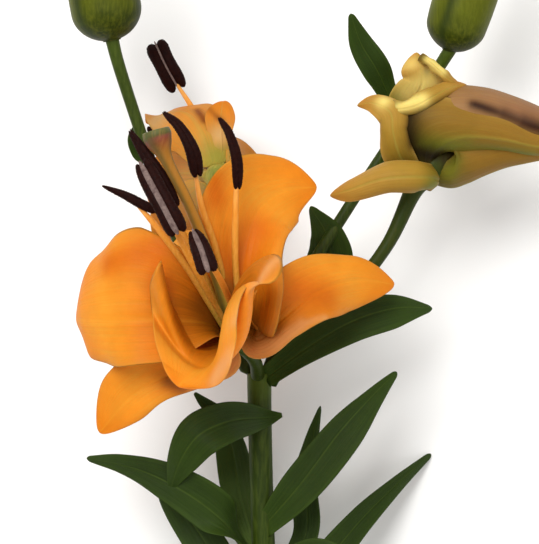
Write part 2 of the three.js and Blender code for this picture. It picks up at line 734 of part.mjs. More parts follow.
// Leaves seen round the upper stem
const leafShape = { thickness: leafThickness, closeFrom: 0.97, fold: 1.2, along: 6, across: 4 };
const leaves = {
  leaf_right: {
    rows: [
      [2.6, -2.5, 3.6, 4, 4, 30, 30],
      [18, 9, 7, 6, 6, 15, 15],
      [34, 18.5, 9, 8, 8, 8, 8],
      [50, 23.5, 6, 5.5, 7.5, 5, 5],
      [64.5, 23.5, 0, 1, 1, 0, 0],
    ],
    side: [[0.4, -0.9, 0.2], [0.4, -0.9, 0.2]],
  },
  leaf_front_curl: {
    rows: [
      [8.9, -15.8, 3, 0.8, 0.8, 0, 0],
      [3, -16.8, 3.6, 3.6, 3.4, 10, 10],
      [-5, -17, 10.5, 6.6, 6.2, 20, 15],
      [-13, -18.4, 17.5, 8.2, 7.6, 10, 8],
      [-22, -23, 20.5, 8.6, 8, 5, 0],
      [-28.6, -32.5, 16, 6.5, 5, 0, 0],
      [-32.2, -43.3, 7, 1, 1, 0, 0],
    ],
    side: [[0, 1, 0], [-0.25, 0.95, 0], [-0.75, 0.6, 0], [-0.95, 0.3, 0]],
  },
  leaf_left_long: {
    rows: [
      [-2, -69, 2.6, 4, 4, 30, 30],
      [-16, -52, 8, 8, 9, 15, 15],
      [-34, -40, 8, 7, 8, 8, 8],
      [-50, -34, 4, 4, 4, 0, 0],
      [-63.5, -32, -2, 1, 1, 0, 0],
    ],
    side: [[-0.6, 0.8, 0.1], [-0.4, 0.9, 0.1]],
  },
  leaf_right_long: {
    rows: [
      [1.2, -58, 2.2, 3.4, 4.4, 30, 30],
      [15, -42, 7, 6.8, 8, 15, 15],
      [30, -22, 8, 5.4, 9, 8, 8],
      [42, -9, 4, 3, 4.8, 0, 0],
      [51.4, 0, -2, 1, 1, 0, 0],
    ],
    side: [[0.7, -0.7, 0.1], [0.7, -0.7, 0.1]],
  },
  leaf_right_back: {
    rows: [
      [3.5, -84, -3.6, 4, 4, 30, 30],
      [17.2, -62, -8, 4.7, 4.8, 15, 15],
      [18, -44, -10, 6, 4.4, 8, 8],
      [20.2, -27, -10, 3.4, 2.4, 0, 0],
      [23.2, -12.8, -9, 0.5, 0.5, 0, 0],
    ],
    side: [[0.95, -0.2, 0.1], [0.95, -0.2, 0.1]],
  },
  leaf_low_right: {
    rows: [
      [6.6, -93, -1, 4, 4, 30, 30],
      [24, -72, -6, 6, 6, 15, 15],
      [38, -56, -16, 5, 5, 8, 8],
      [52, -43, -28, 3, 3, 3, 3],
      [65.5, -32, -42, 1, 1, 0, 0],
    ],
    side: [[0.6, -0.8, 0.1], [0.6, -0.8, 0.1]],
  },
  leaf_bottom_front: {
    rows: [
      [5, -81, 3.6, 4, 4, 30, 30],
      [13, -71, 14, 7, 7, 15, 15],
      [24, -67.5, 22, 7, 7, 8, 8],
      [35, -77, 22, 6, 6, 0, 0],
      [43, -95, 14, 1, 1, 0, 0],
    ],
    side: [[0.3, -0.9, 0.1], [-0.6, -0.8, 0]],
  },
  leaf_left_low: {
    rows: [
      [-0.6, -89, -2, 4, 4, 30, 30],
      [-13.6, -72, -6, 7.5, 7, 15, 15],
      [-24.8, -56, -12, 7.5, 7, 8, 8],
      [-32.8, -46.3, -17, 5, 5, 0, 0],
      [-37, -39, -22, 1, 1, 0, 0],
    ],
    side: [[0.7, 0.6, 0.1], [0.76, 0.65, 0.1]],
  },
  leaf_left_back: {
    rows: [
      [-0.6, -66, -3, 4, 4, 30, 30],
      [-6.6, -46, -9, 6.3, 6.5, 15, 15],
      [-9.2, -32, -12, 6.3, 6.5, 8, 8],
      [-12, -21, -14, 4, 4, 0, 0],
      [-14.5, -14, -16, 1, 1, 0, 0],
    ],
    side: [[-0.9, 0.3, 0.1], [-0.9, 0.3, 0.1]],
  },
  leaf_behind_right: {
    rows: [
      [4, -5, -4, 3, 3, 30, 30],
      [14, 18, -15, 6, 6, 15, 15],
      [26, 38, -16, 9, 9, 8, 8],
      [26, 50, -12, 7, 7, 0, 0],
      [19.6, 61.5, -8, 1, 1, 0, 0],
    ],
    side: [[0.9, -0.3, 0.1], [0.8, 0.2, 0.3]],
  },
  leaf_top: {
    rows: [
      [53.5, 91, -14, 1.6, 1.6, 30, 30],
      [47.5, 105, -9, 4, 4, 15, 15],
      [43.5, 113, -5, 5.5, 5.5, 8, 8],
      [38, 122, -2, 4.4, 4.4, 0, 0],
      [34.2, 132.5, 2, 1, 1, 0, 0],
    ],
    side: [[0.8, 0.5, 0.1], [0.8, 0.5, 0.1]],
  },
  leaf_left_small: {
    rows: [
      [-2.6, -21, 1, 2.4, 2.4, 30, 30],
      [-9.5, -18, 3.4, 3.2, 3.2, 15, 15],
      [-15.5, -14.6, 5, 3, 3, 8, 8],
      [-20, -11, 6.2, 2, 2, 0, 0],
      [-23.4, -7.5, 7, 0.6, 0.6, 0, 0],
    ],
    side: [[-0.1, 1, 0.1], [-0.1, 1, 0.1]],
  },
  bract: {
    rows: [
      [-44.2, 92.4, -6.4, 1.2, 1.2, 20, 20],
      [-45.4, 88.6, -8.6, 2.6, 2.6, 20, 20],
      [-45.6, 84.6, -10, 3, 3, 20, 20],
      [-44.4, 80.6, -11, 2.3, 2.3, 20, 20],
      [-42.6, 77.4, -11.6, 0.7, 0.7, 0, 0],
    ],
    side: [[-0.95, 0.2, 0.1], [-0.95, -0.1, 0.1]],
  },
};
for (const [name, leaf] of Object.entries(leaves)) {
  place(name, colours.leaf, (grow) => bladeSolid({ ...leafShape, ...leaf }, grow));
}

// Leaves of the lower stem, alternate, each arching away from the stem
const lowerLeaves = [
  { y: -114, azimuth: 190, length: 88 },
  { y: -130, azimuth: 345, length: 92 },
  { y: -147, azimuth: 95, length: 90 },
  { y: -163, azimuth: 198, length: 96 },
  { y: -181, azimuth: 352, length: 94 },
  { y: -198, azimuth: 130, length: 88 },
];
const leafHalfWidth = 8.5;
const lowerLeafArch = [
  [0, 0, 0.45],
  [0.2, 0.16, 0.9],
  [0.46, 0.3, 1],
  [0.7, 0.34, 0.72],
  [0.9, 0.28, 0.06],
];
lowerLeaves.forEach(({ y, azimuth, length }, index) => {
  const centre = rowAt(stem.path, -y / stemLength);
  const angle = THREE.MathUtils.degToRad(azimuth);
  const out = [Math.cos(angle), 0, Math.sin(angle)];
  const rows = lowerLeafArch.map(([reach, rise, share]) => {
    const from = 0.8 * stemRadius + reach * length;
    const width = leafHalfWidth * share;
    return [centre[0] + out[0] * from, y + rise * length, centre[2] + out[2] * from, width, width, 18, 18];
  });
  const side = [-Math.sin(angle), 0, Math.cos(angle)];
  const tipSide = [-0.6 * Math.sin(angle), -0.8 * Math.cos(angle), 0.6 * Math.cos(angle)];
  const blade = { ...leafShape, rows, side: [side, tipSide] };
  place("lower_leaf_" + (index + 1), colours.leaf, (grow) => bladeSolid(blade, grow));
});

const toRadians = THREE.MathUtils.degToRad;
plant.rotation.set(toRadians(restTilt), toRadians(restRoll), 0, "YXZ");
plant.position.set(...restMove);
const lily = new THREE.Group();
lily.add(plant);
export default lily;
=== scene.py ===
# A cut lily stem with three flowers, two buds and its leaves, lying on a pale floor.
# The plant's numbers are in mm as it stands: x to the right, y up the stem, z towards the viewer.
import bpy
import math
import numpy as np
from mathutils import Matrix, Vector


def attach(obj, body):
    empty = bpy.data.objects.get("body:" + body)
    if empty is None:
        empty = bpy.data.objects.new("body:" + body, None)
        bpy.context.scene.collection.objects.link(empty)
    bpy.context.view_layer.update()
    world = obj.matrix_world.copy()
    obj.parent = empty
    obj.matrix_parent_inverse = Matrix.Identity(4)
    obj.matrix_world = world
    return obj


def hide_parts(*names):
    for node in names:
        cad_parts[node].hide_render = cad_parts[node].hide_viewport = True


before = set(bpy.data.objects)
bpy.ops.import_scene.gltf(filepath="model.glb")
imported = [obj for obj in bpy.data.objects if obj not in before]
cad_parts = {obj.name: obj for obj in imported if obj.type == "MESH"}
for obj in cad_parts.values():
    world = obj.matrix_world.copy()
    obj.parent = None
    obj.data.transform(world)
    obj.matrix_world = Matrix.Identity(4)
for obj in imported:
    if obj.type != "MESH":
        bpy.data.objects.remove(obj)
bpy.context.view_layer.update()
print("frame loaded,", len(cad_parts), "nodes")

# How the standing plant lies at rest, degrees and mm
restPose = {"tilt": 8.05, "roll": 3.51, "move": (-21.19, 48.59, 50.487)}
turned = Matrix.Rotation(math.radians(restPose["roll"]), 4, "Y")
turned = turned @ Matrix.Rotation(math.radians(restPose["tilt"]), 4, "X")
toRow = Matrix.Translation(Vector(restPose["move"]) * 0.001) @ turned @ Matrix.Scale(0.001, 4)
rowTurn = np.array(toRow.to_3x3())
rowMove = np.array(toRow.translation)


def inRow(points):
    return np.asarray(points, float).reshape(-1, 3) @ rowTurn.T + rowMove


def unit(vectors):
    return vectors / np.linalg.norm(vectors, axis=-1, keepdims=True)


# Smooth curve through rows of numbers, at each t from 0 to 1
def rowsAt(rows, t):
    rows = np.array(rows, float)
    last = len(rows) - 1
    place = np.clip(t, 0, 1) * last
    i = np.minimum(place.astype(int), last - 1)
    f = (place - i)[:, None]
    b, c = rows[i], rows[i + 1]
    a = np.where((i > 0)[:, None], rows[np.maximum(i - 1, 0)], 2 * b - c)
    d = np.where((i + 1 < last)[:, None], rows[np.minimum(i + 2, last)], 2 * c - b)
    bend = (2 * a - 5 * b + 4 * c - d) * f**2 + (3 * b - a - 3 * c + d) * f**3
    return 0.5 * (2 * b + (c - a) * f + bend)


def headings(rows, t, step=0.01):
    after = rowsAt(rows, np.minimum(t + step, 1))
    before = rowsAt(rows, np.maximum(t - step, 0))
    return unit((after - before)[:, :3])


def addObject(name, data):
    made = bpy.data.objects.new(name, data)
    bpy.context.scene.collection.objects.link(made)
    return made


def newObject(name, points, faces, edges=()):
    mesh = bpy.data.meshes.new(name)
    mesh.from_pydata(inRow(points).tolist(), edges, faces)
    return addObject(name, mesh)


def addValues(piece, name, values):
    layer = piece.data.attributes.new(name, "FLOAT", "POINT")
    layer.data.foreach_set("value", np.asarray(values, np.float32).ravel())


def linear(code):
    parts = [int(code[i : i + 2], 16) / 255 for i in (1, 3, 5)]
    parts = [p / 12.92 if p <= 0.04045 else ((p + 0.055) / 1.055) ** 2.4 for p in parts]
    return (*parts, 1.0)


def pieceName(node):
    first, *rest = node.split("_")
    return first + "".join(word.capitalize() for word in rest)


# Node building, for geometry and shader trees alike
def addNode(tree, kind, inputs=None, **settings):
    made = tree.nodes.new(kind)
    for key, value in settings.items():
        setattr(made, key, value)
    for key, value in (inputs or {}).items():
        if isinstance(value, bpy.types.NodeSocket):
            tree.links.new(value, made.inputs[key])
        else:
            made.inputs[key].default_value = value
    return made


# The tree that holds the first socket among the values
def treeOf(*values):
    return next(value.id_data for value in values if isinstance(value, bpy.types.NodeSocket))


def calc(operation, *values, clamp=False):
    inputs = dict(enumerate(values))
    made = addNode(treeOf(*values), "ShaderNodeMath", inputs, operation=operation, use_clamp=clamp)
    return made.outputs[0]


def times(product, *factors):
    for factor in factors:
        product = calc("MULTIPLY", product, factor)
    return product


def oneMinus(value, clamp=False):
    return calc("SUBTRACT", 1.0, value, clamp=clamp)


def geo(tree, kind, inputs=None, **settings):
    return addNode(tree, "GeometryNode" + kind, inputs, **settings).outputs[0]


def newTree(name, inputs):
    tree = bpy.data.node_groups.new(name, "GeometryNodeTree")
    for way in ("INPUT", "OUTPUT"):
        tree.interface.new_socket("Geometry", in_out=way, socket_type="NodeSocketGeometry")
    for label, value in inputs.items():
        kind = {float: "Float", int: "Int", type(None): "Material"}[type(value)]
        socket = tree.interface.new_socket(label, in_out="INPUT", socket_type="NodeSocket" + kind)
        if value is not None:
            socket.default_value = value
    return tree, tree.nodes.new("NodeGroupInput").outputs


def readValue(tree, name):
    return geo(tree, "InputNamedAttribute", {"Name": name}, data_type="FLOAT")


def keepValue(geometry, name, value, domain="POINT"):
    inputs = {"Geometry": geometry, "Name": name, "Value": value}
    return geo(geometry.id_data, "StoreNamedAttribute", inputs, data_type="FLOAT", domain=domain)


def moveOut(geometry, amount):
    tree = geometry.id_data
    inputs = {0: geo(tree, "InputNormal"), "Scale": amount}
    offset = addNode(tree, "ShaderNodeVectorMath", inputs, operation="SCALE").outputs[0]
    return geo(tree, "SetPosition", {"Geometry": geometry, "Offset": offset})


def join(parts):
    tree = parts[0].id_data
    made = addNode(tree, "GeometryNodeJoinGeometry")
    for part in parts:
        tree.links.new(part, made.inputs[0])
    return made.outputs[0]


def paint(geometry, material):
    real = geo(geometry.id_data, "RealizeInstances", {"Geometry": geometry})
    return geo(geometry.id_data, "SetMaterial", {"Geometry": real, "Material": material})


def endTree(geometry):
    addNode(geometry.id_data, "NodeGroupOutput", {"Geometry": geometry})
    return geometry.id_data


# Runs a tree on a piece and leaves its result as the piece's plain mesh
def applyTree(piece, tree, values):
    modifier = piece.modifiers.new(tree.name, "NODES")
    modifier.node_group = tree
    for item in tree.interface.items_tree:
        if item.item_type == "SOCKET" and item.in_out == "INPUT" and item.name in values:
            modifier[item.identifier] = values[item.name]
    bpy.context.view_layer.update()
    evaluated = piece.evaluated_get(bpy.context.evaluated_depsgraph_get())
    made = bpy.data.meshes.new_from_object(evaluated)
    piece.modifiers.remove(modifier)
    sheet = piece.data
    piece.data = made
    made.name = piece.name
    bpy.data.meshes.remove(sheet)


fullTurn = 6.28319
mergeDistance = 2e-7


# Gives a thin sheet its two faces, a midrib and veins that run along it
def makeBladeTree():
    inputs = {
        "Wall": 0.001, "Edge share": 0.4, "Rib width": 0.12, "Rib height": 0.0003,
        "Groove depth": 0.0003, "Veins": 6, "Vein height": 0.0001, "Material": None,
    }
    tree, given = newTree("bladeTree", inputs)
    reach = calc("ABSOLUTE", readValue(tree, "across"))
    along = readValue(tree, "along")
    left = oneMinus(along)
    margin = calc("SQRT", oneMinus(calc("POWER", reach, 8.0), clamp=True))
    ends = calc("MULTIPLY", calc("MINIMUM", along, left), 30.0, clamp=True)
    closing = times(margin, calc("SQRT", ends))
    thinning = times(oneMinus(given["Edge share"]), reach)
    half = times(given["Wall"], 0.5, oneMinus(thinning))
    rib = oneMinus(calc("DIVIDE", reach, given["Rib width"]), clamp=True)
    fading = oneMinus(calc("POWER", along, 3.0))
    rib = times(calc("SMOOTH_MIN", rib, 1.0, 0.3), fading)
    wave = calc("COSINE", times(given["Veins"], fullTurn, reach))
    vein = calc("POWER", calc("MULTIPLY_ADD", wave, 0.5, 0.5), 3.0)
    vein = times(vein, oneMinus(rib), left, given["Vein height"])
    sheets = []
    for sign, height, inner in ((1.0, "Groove depth", 1.0), (-1.0, "Rib height", 0.0)):
        detail = calc("MULTIPLY_ADD", rib, given[height], vein)
        amount = calc("SUBTRACT" if sign > 0 else "ADD", half, detail)
        sheet = moveOut(given["Geometry"], times(amount, closing, sign))
        if sign < 0:
            sheet = geo(tree, "FlipFaces", {"Mesh": sheet})
        sheets.append(keepValue(sheet, "inner", inner, "FACE"))
    closed = geo(tree, "MergeByDistance", {"Geometry": join(sheets), "Distance": mergeDistance})
    smooth = geo(tree, "SetShadeSmooth", {"Geometry": closed})
    return endTree(paint(smooth, given["Material"]))


# Sweeps a ring along a line whose points carry a radius and the depth of its grooves
def makeStalkTree():
    inputs = {"Sides": 24, "Grooves": 3, "Groove sharpness": 4.0, "Turn": 0.0, "Material": None}
    tree, given = newTree("stalkTree", inputs)
    radius = readValue(tree, "radius")
    line = geo(tree, "MeshToCurve", {"Mesh": given["Geometry"]})
    line = geo(tree, "SetCurveRadius", {"Curve": line, "Radius": radius})
    ring = geo(tree, "CurvePrimitiveCircle", {"Resolution": given["Sides"], "Radius": 1.0})
    angle = times(geo(tree, "SplineParameter"), fullTurn)
    ring = keepValue(ring, "ringCos", calc("COSINE", angle))
    ring = keepValue(ring, "ringSin", calc("SINE", angle))
    inputs = {"Curve": line, "Profile Curve": ring, "Fill Caps": True}
    sweep = addNode(tree, "GeometryNodeCurveToMesh", inputs)
    if "Scale" in sweep.inputs:
        tree.links.new(radius, sweep.inputs["Scale"])
    around = calc("ARCTAN2", readValue(tree, "ringSin"), readValue(tree, "ringCos"))
    phase = calc("MULTIPLY_ADD", around, given["Grooves"], given["Turn"])
    groove = calc("MULTIPLY_ADD", calc("COSINE", phase), 0.5, 0.5)
    groove = calc("POWER", groove, given["Groove sharpness"])
    body = keepValue(sweep.outputs[0], "groove", groove)
    body = moveOut(body, times(groove, readValue(tree, "depth"), radius, -1.0))
    body = geo(tree, "SetShadeSmooth", {"Geometry": body})
    inputs = {0: geo(tree, "InputMeshEdgeAngle"), 1: 1.0}
    sharp = addNode(tree, "FunctionNodeCompare", inputs, operation="GREATER_THAN").outputs[0]
    inputs = {"Geometry": body, "Selection": sharp, "Shade Smooth": False}
    body = geo(tree, "SetShadeSmooth", inputs, domain="EDGE")
    return endTree(paint(body, given["Material"]))


# Scatters grains over a piece, as many as its "dust" value allows, and keeps the piece
def makeGrainTree():
    inputs = {"Grains per mm2": 2.5, "Grain radius": 0.00016, "Seed": 3, "Material": None}
    tree, given = newTree("grainTree", inputs)
    density = times(given["Grains per mm2"], 1e6, readValue(tree, "dust"))
    inputs = {"Mesh": given["Geometry"], "Density": density, "Seed": given["Seed"]}
    spots = geo(tree, "DistributePointsOnFaces", inputs)
    grain = geo(tree, "MeshIcoSphere", {"Radius": given["Grain radius"], "Subdivisions": 1})
    inputs = {2: 0.6, 3: 1.3, "Seed": given["Seed"]}
    size = addNode(tree, "FunctionNodeRandomValue", inputs, data_type="FLOAT").outputs[1]
    grains = geo(tree, "InstanceOnPoints", {"Points": spots, "Instance": grain, "Scale": size})
    grains = paint(grains, given["Material"])
    return endTree(join((given["Geometry"], grains)))


bladeTree = makeBladeTree()
stalkTree = makeStalkTree()
grainTree = makeGrainTree()
print("geometry trees built")


# Materials
def newMaterial(name, glow=0.0, shine=0.3):
    material = bpy.data.materials.new(name)
    material.use_nodes = True
    shader = material.node_tree.nodes["Principled BSDF"]
    shader.inputs["Subsurface Weight"].default_value = glow
    shader.inputs["Subsurface Radius"].default_value = (0.003, 0.0012, 0.0004)
    shader.inputs["Subsurface Scale"].default_value = 1.0
    shader.inputs["Specular IOR Level"].default_value = shine
    return material, material.node_tree, shader


def ramp(value, stops):
    made = addNode(value.id_data, "ShaderNodeValToRGB", {0: value})
    elements = made.color_ramp.elements
    while len(elements) < len(stops):
        elements.new(0.5)
    for element, (place, colour) in zip(elements, stops):
        element.position = place
        element.color = linear(colour) if isinstance(colour, str) else (colour,) * 3 + (1.0,)
    return made.outputs[0]


def blend(share, first, second, mode="MIX"):
    tree = treeOf(share, first, second)
    made = addNode(tree, "ShaderNodeMix", data_type="RGBA", blend_type=mode)
    for index, value in ((0, share), (6, first), (7, second)):
        if isinstance(value, str):
            value = linear(value)
        if isinstance(value, bpy.types.NodeSocket):
            tree.links.new(value, made.inputs[index])
        else:
            made.inputs[index].default_value = value
    return made.outputs[2]


def noise(vector, scale, detail=2.0, roughness=0.5):
    inputs = {"Vector": vector, "Scale": scale, "Detail": detail, "Roughness": roughness}
    return addNode(vector.id_data, "ShaderNodeTexNoise", inputs).outputs["Fac"]


def objectPlace(tree):
    return addNode(tree, "ShaderNodeTexCoord").outputs["Object"]


def attribute(tree, name):
    return addNode(tree, "ShaderNodeAttribute", attribute_name=name).outputs["Fac"]


# Links the colour, and a roughness and a bump that follow the texture
def endMaterial(shader, look, colour, texture, relief, distance):
    tree = shader.id_data
    tree.links.new(colour, shader.inputs["Base Color"])
    low, high = look["roughness"]
    tree.links.new(calc("MULTIPLY_ADD", texture, high - low, low), shader.inputs["Roughness"])
    inputs = {"Strength": look["bump"], "Distance": distance, "Height": relief}
    tree.links.new(addNode(tree, "ShaderNodeBump", inputs).outputs[0], shader.inputs["Normal"])


# Tepals and leaves: colours run from base to tip, with veins that follow the blade, and tones laid over
# them, the two darker of which are painted shade
def bladeFinish(name, look):
    material, tree, shader = newMaterial(name, look["glow"], look["shine"])
    place = addNode(tree, "ShaderNodeUVMap", uv_map="blade").outputs[0]
    u, v, _ = addNode(tree, "ShaderNodeSeparateXYZ", {0: place}).outputs
    reach = calc("ABSOLUTE", calc("MULTIPLY_ADD", u, 2.0, -1.0))
    where = objectPlace(tree)
    drift = calc("MULTIPLY_ADD", noise(where, 55.0), look["drift"], -0.5 * look["drift"])
    height = calc("ADD", calc("MULTIPLY_ADD", reach, look["arch"], v), drift)
    back, front = ramp(height, look["outer"]), ramp(height, look["inner"])
    colour = blend(attribute(tree, "inner"), back, front)
    inputs = {0: times(u, look["lines"]), 1: times(v, 2.2)}
    veins = noise(addNode(tree, "ShaderNodeCombineXYZ", inputs).outputs[0], 1.0, 3.0, 0.6)
    share = times(ramp(veins, [(0.42, 0.0), (0.62, 1.0)]), look["veinShare"])
    colour = blend(share, colour, look["vein"])
    rib = ramp(reach, [(0.0, 1.0), (look["ribWidth"], 0.0)])
    colour = blend(times(rib, look["ribShare"]), colour, look["rib"])
    edge = times(calc("POWER", reach, 7.0), look["marginShare"])
    colour = blend(edge, colour, look["margin"])
    # green and pale are the blade's own colour; the two darker tones paint shade into throats, creases and
    # gaps
    for tone in ("green", "deep", "dark", "pale"):
        colour = blend(attribute(tree, tone), colour, look[tone])
    blotch = noise(where, 140.0, 4.0, 0.6)
    shade = ramp(blotch, [(0.3, 0.55), (0.7, 1.0)])
    colour = blend(look["mottle"], colour, shade, "MULTIPLY")
    relief = calc("MULTIPLY_ADD", noise(where, 1400.0), 0.25, veins)
    endMaterial(shader, look, colour, blotch, relief, 0.0006)
    return material


# Stalks, buds and styles: streaks along the stem, with the grooves darker
def stalkFinish(name, look):
    material, tree, shader = newMaterial(name, look["glow"], look["shine"])
    where = objectPlace(tree)
    drift = calc("MULTIPLY_ADD", noise(where, 120.0, 3.0), 0.16, -0.08)
    colour = ramp(calc("ADD", attribute(tree, "along"), drift), look["colours"])
    inputs = {"Vector": where, "Scale": (900.0, 60.0, 900.0)}
    streak = noise(addNode(tree, "ShaderNodeMapping", inputs).outputs[0], 1.0, 3.0, 0.6)
    share = times(ramp(streak, [(0.4, 0.0), (0.68, 1.0)]), look["streakShare"])
    colour = blend(share, colour, look["streak"])
    share = times(attribute(tree, "groove"), look["grooveShare"])
    colour = blend(share, colour, look["groove"])
    endMaterial(shader, look, colour, streak, streak, 0.0004)
    return material


def grainFinish(name, look):
    material, tree, shader = newMaterial(name, shine=look["shine"])
    speckle = noise(objectPlace(tree), look["scale"], 4.0, 0.7)
    colour = ramp(speckle, [(0.3, look["dark"]), (0.7, look["light"])])
    endMaterial(shader, look, colour, speckle, speckle, 0.0003)
    return material


# The inner colours start near black at the base: the throat's own brown, deepened with painted shade. The
# two darker tone colours are painted shade.
petalLook = {
    "inner": [(0.0, "#241404"), (0.12, "#5E3204"), (0.28, "#A65C0A"), (0.5, "#C87413"), (0.75, "#D88E27"),
        (1.0, "#D27812")],
    "outer": [(0.0, "#A89A58"), (0.12, "#D0904A"), (0.3, "#EA8A26"), (0.65, "#F08614"), (1.0, "#EC7C10")],
    "lines": 46.0, "vein": "#E27A0A", "veinShare": 0.3, "rib": "#DC9226", "ribWidth": 0.09, "ribShare": 0.35,
    "margin": "#C0782C", "marginShare": 0.55, "drift": 0.24, "arch": 0.08, "mottle": 0.22,
    "roughness": (0.42, 0.6), "bump": 0.35, "glow": 0.12, "shine": 0.1, "green": "#A8AC3C",
    "deep": "#C4640A", "dark": "#7A4206", "pale": "#D08C4C",
}
petalFinish = bladeFinish("orange petal", petalLook)
# The rear flower: its outer colours are duller and darker than the open flower's, partly the outer side's
# own tone and partly painted shade for a flower that lies in shadow.
rearShadedLook = petalLook | {
    "outer": [(0.0, "#7C7C28"), (0.2, "#AA8C3A"), (0.45, "#B87E30"), (0.7, "#B87626"), (1.0, "#BC6E16")],
    "rib": "#A08C3C", "green": "#8E8430", "dark": "#7A3C06", "pale": "#C09458",
}
rearShadedFinish = bladeFinish("orange petal back", rearShadedLook)
# In the half-open flower the two darker tone colours are painted shade: its shadowed inside and its creases.
paleLook = petalLook | {
    "inner": [(0.0, "#3E3004"), (0.2, "#745A14"), (0.45, "#967426"), (0.75, "#A88034"), (1.0, "#AC7426")],
    "outer": [(0.0, "#3E4008"), (0.15, "#645414"), (0.4, "#7E5C1C"), (0.7, "#84601E"), (1.0, "#9A6A22")],
    "vein": "#8A6A20", "rib": "#98903C", "margin": "#C09850", "mottle": 0.2, "green": "#6A6A1C",
    "dark": "#1E1402", "deep": "#8A5A14", "pale": "#DCC46C",
}
paleFinish = bladeFinish("half open petal", paleLook)
# The upper closed petal: its dark tone colour paints the shaded slit between the petals.
mauveLook = paleLook | {
    "outer": [(0.0, "#6A7018"), (0.15, "#8C7426"), (0.3, "#947040"), (0.7, "#8A6240"), (1.0, "#946A3C")],
    "vein": "#80543C", "rib": "#8A6A44", "dark": "#200602",
}
mauveFinish = bladeFinish("half open petal back", mauveLook)
leafLook = {
    "inner": [(0.0, "#34480E"), (0.1, "#263808"), (0.5, "#203006"), (1.0, "#2A3C0A")],
    "outer": [(0.0, "#46581C"), (0.1, "#3A4C16"), (0.5, "#324412"), (1.0, "#3A4C18")], "lines": 60.0,
    "vein": "#34480F", "veinShare": 0.4, "rib": "#46581C", "ribWidth": 0.06, "ribShare": 0.5,
    "margin": "#3C5016", "marginShare": 0.5, "drift": 0.2, "arch": 0.0, "mottle": 0.35,
    "roughness": (0.4, 0.6), "bump": 0.5, "glow": 0.0, "shine": 0.12, "green": "#4A5C20", "deep": "#223008",
    "dark": "#16220A", "pale": "#55663A",
}
leafFinish = bladeFinish("dark leaf", leafLook)
stemLook = {
    "colours": [(0.0, "#42500F"), (0.1, "#3A480C"), (0.18, "#222E04"), (0.5, "#2C3C08"), (1.0, "#3A4A14")],
    "streak": "#4A581C", "streakShare": 0.45, "groove": "#243208", "grooveShare": 0.2,
    "roughness": (0.36, 0.55), "bump": 0.3, "glow": 0.0, "shine": 0.1,
}
stemFinish = stalkFinish("stem skin", stemLook)
pedicelLook = stemLook | {
    "colours": [(0.0, "#242E08"), (0.5, "#2A360A"), (0.84, "#3A4810"), (0.93, "#3E420C"), (1.0, "#3A3208")],
}
pedicelFinish = stalkFinish("flower stalk skin", pedicelLook)
lowerStalk = [(0.0, "#242E08"), (0.5, "#2A360A")]
brownTop = pedicelLook | {
    "colours": lowerStalk + [(0.8, "#32400C"), (0.9, "#2C2606"), (1.0, "#2C2004")],
    "streak": "#3C3C0E",
}
yellowTop = pedicelLook | {"colours": lowerStalk + [(0.75, "#525C1A"), (0.9, "#908C38"), (1.0, "#A08C3C")]}
topFinishes = {
    "pedicel_right": stalkFinish("brown topped stalk skin", brownTop),
    "pedicel_rear": stalkFinish("yellow topped stalk skin", yellowTop),
}
budLook = stemLook | {
    "colours": [(0.0, "#1E2804"), (0.08, "#2C3404"), (0.25, "#4C5208"), (0.5, "#585A0C"), (0.8, "#766818"),
        (1.0, "#946220")],
    "streak": "#666A18", "streakShare": 0.35, "groove": "#1E2A06", "grooveShare": 0.75, "glow": 0.04,
}
budFinish = stalkFinish("bud skin", budLook)
filamentLook = stemLook | {
    "colours": [(0.0, "#9C8A30"), (0.3, "#C4842A"), (0.7, "#D4842A"), (1.0, "#D89850")], "streak": "#E4A04C",
    "grooveShare": 0.0, "glow": 0.1,
}
filamentFinish = stalkFinish("filament skin", filamentLook)
styleLook = stemLook | {
    "colours": [(0.0, "#8A8A30"), (0.3, "#A8701E"), (0.68, "#8E5C1C"), (0.8, "#7A3E24"), (0.86, "#743A30"),
        (0.91, "#4C4A24"), (1.0, "#5C5E34")],
    "streak": "#A8743A", "streakShare": 0.25, "groove": "#3C4628", "grooveShare": 0.6,
}
styleFinish = stalkFinish("style skin", styleLook)
grainLook = {"bump": 0.5, "roughness": (0.5, 0.7)}
pollenLook = {"dark": "#120402", "light": "#2E1008", "scale": 2600.0, "roughness": (0.7, 0.9), "shine": 0.03}
thecaLook = {"dark": "#120404", "light": "#260C06", "scale": 700.0, "shine": 0.06}
seamLook = {"dark": "#4A3836", "light": "#847068", "scale": 500.0, "shine": 0.1}
pollenFinish = grainFinish("pollen", grainLook | pollenLook)
thecaFinish = grainFinish("anther skin", grainLook | thecaLook)
seamFinish = grainFinish("anther seam", grainLook | seamLook)
print("materials built")


bendSteps = 32
leastWidth, tipThinning = 0.6, 0.45


# A leaf or tepal as one thin sheet, in mm and degrees.
# A row is (x, y, z, half width left, half width right, cup left, cup right), or (x, y, z, half width, cup).
# roll turns each margin further. ruffle is (waves, height, phase) of the margins.
# swell is (height, phase) of the face.
# tones are soft spots (x, y, z, size) or strokes between two points, in a colour that the look names. The
# green and pale tones are the blade's own colour; the two darker tones are painted shade, laid into throats,
# creases and the gaps between tepals.
def fullRow(row):
    return (*row[:3], row[3], row[3], row[4], row[4]) if len(row) == 5 else row


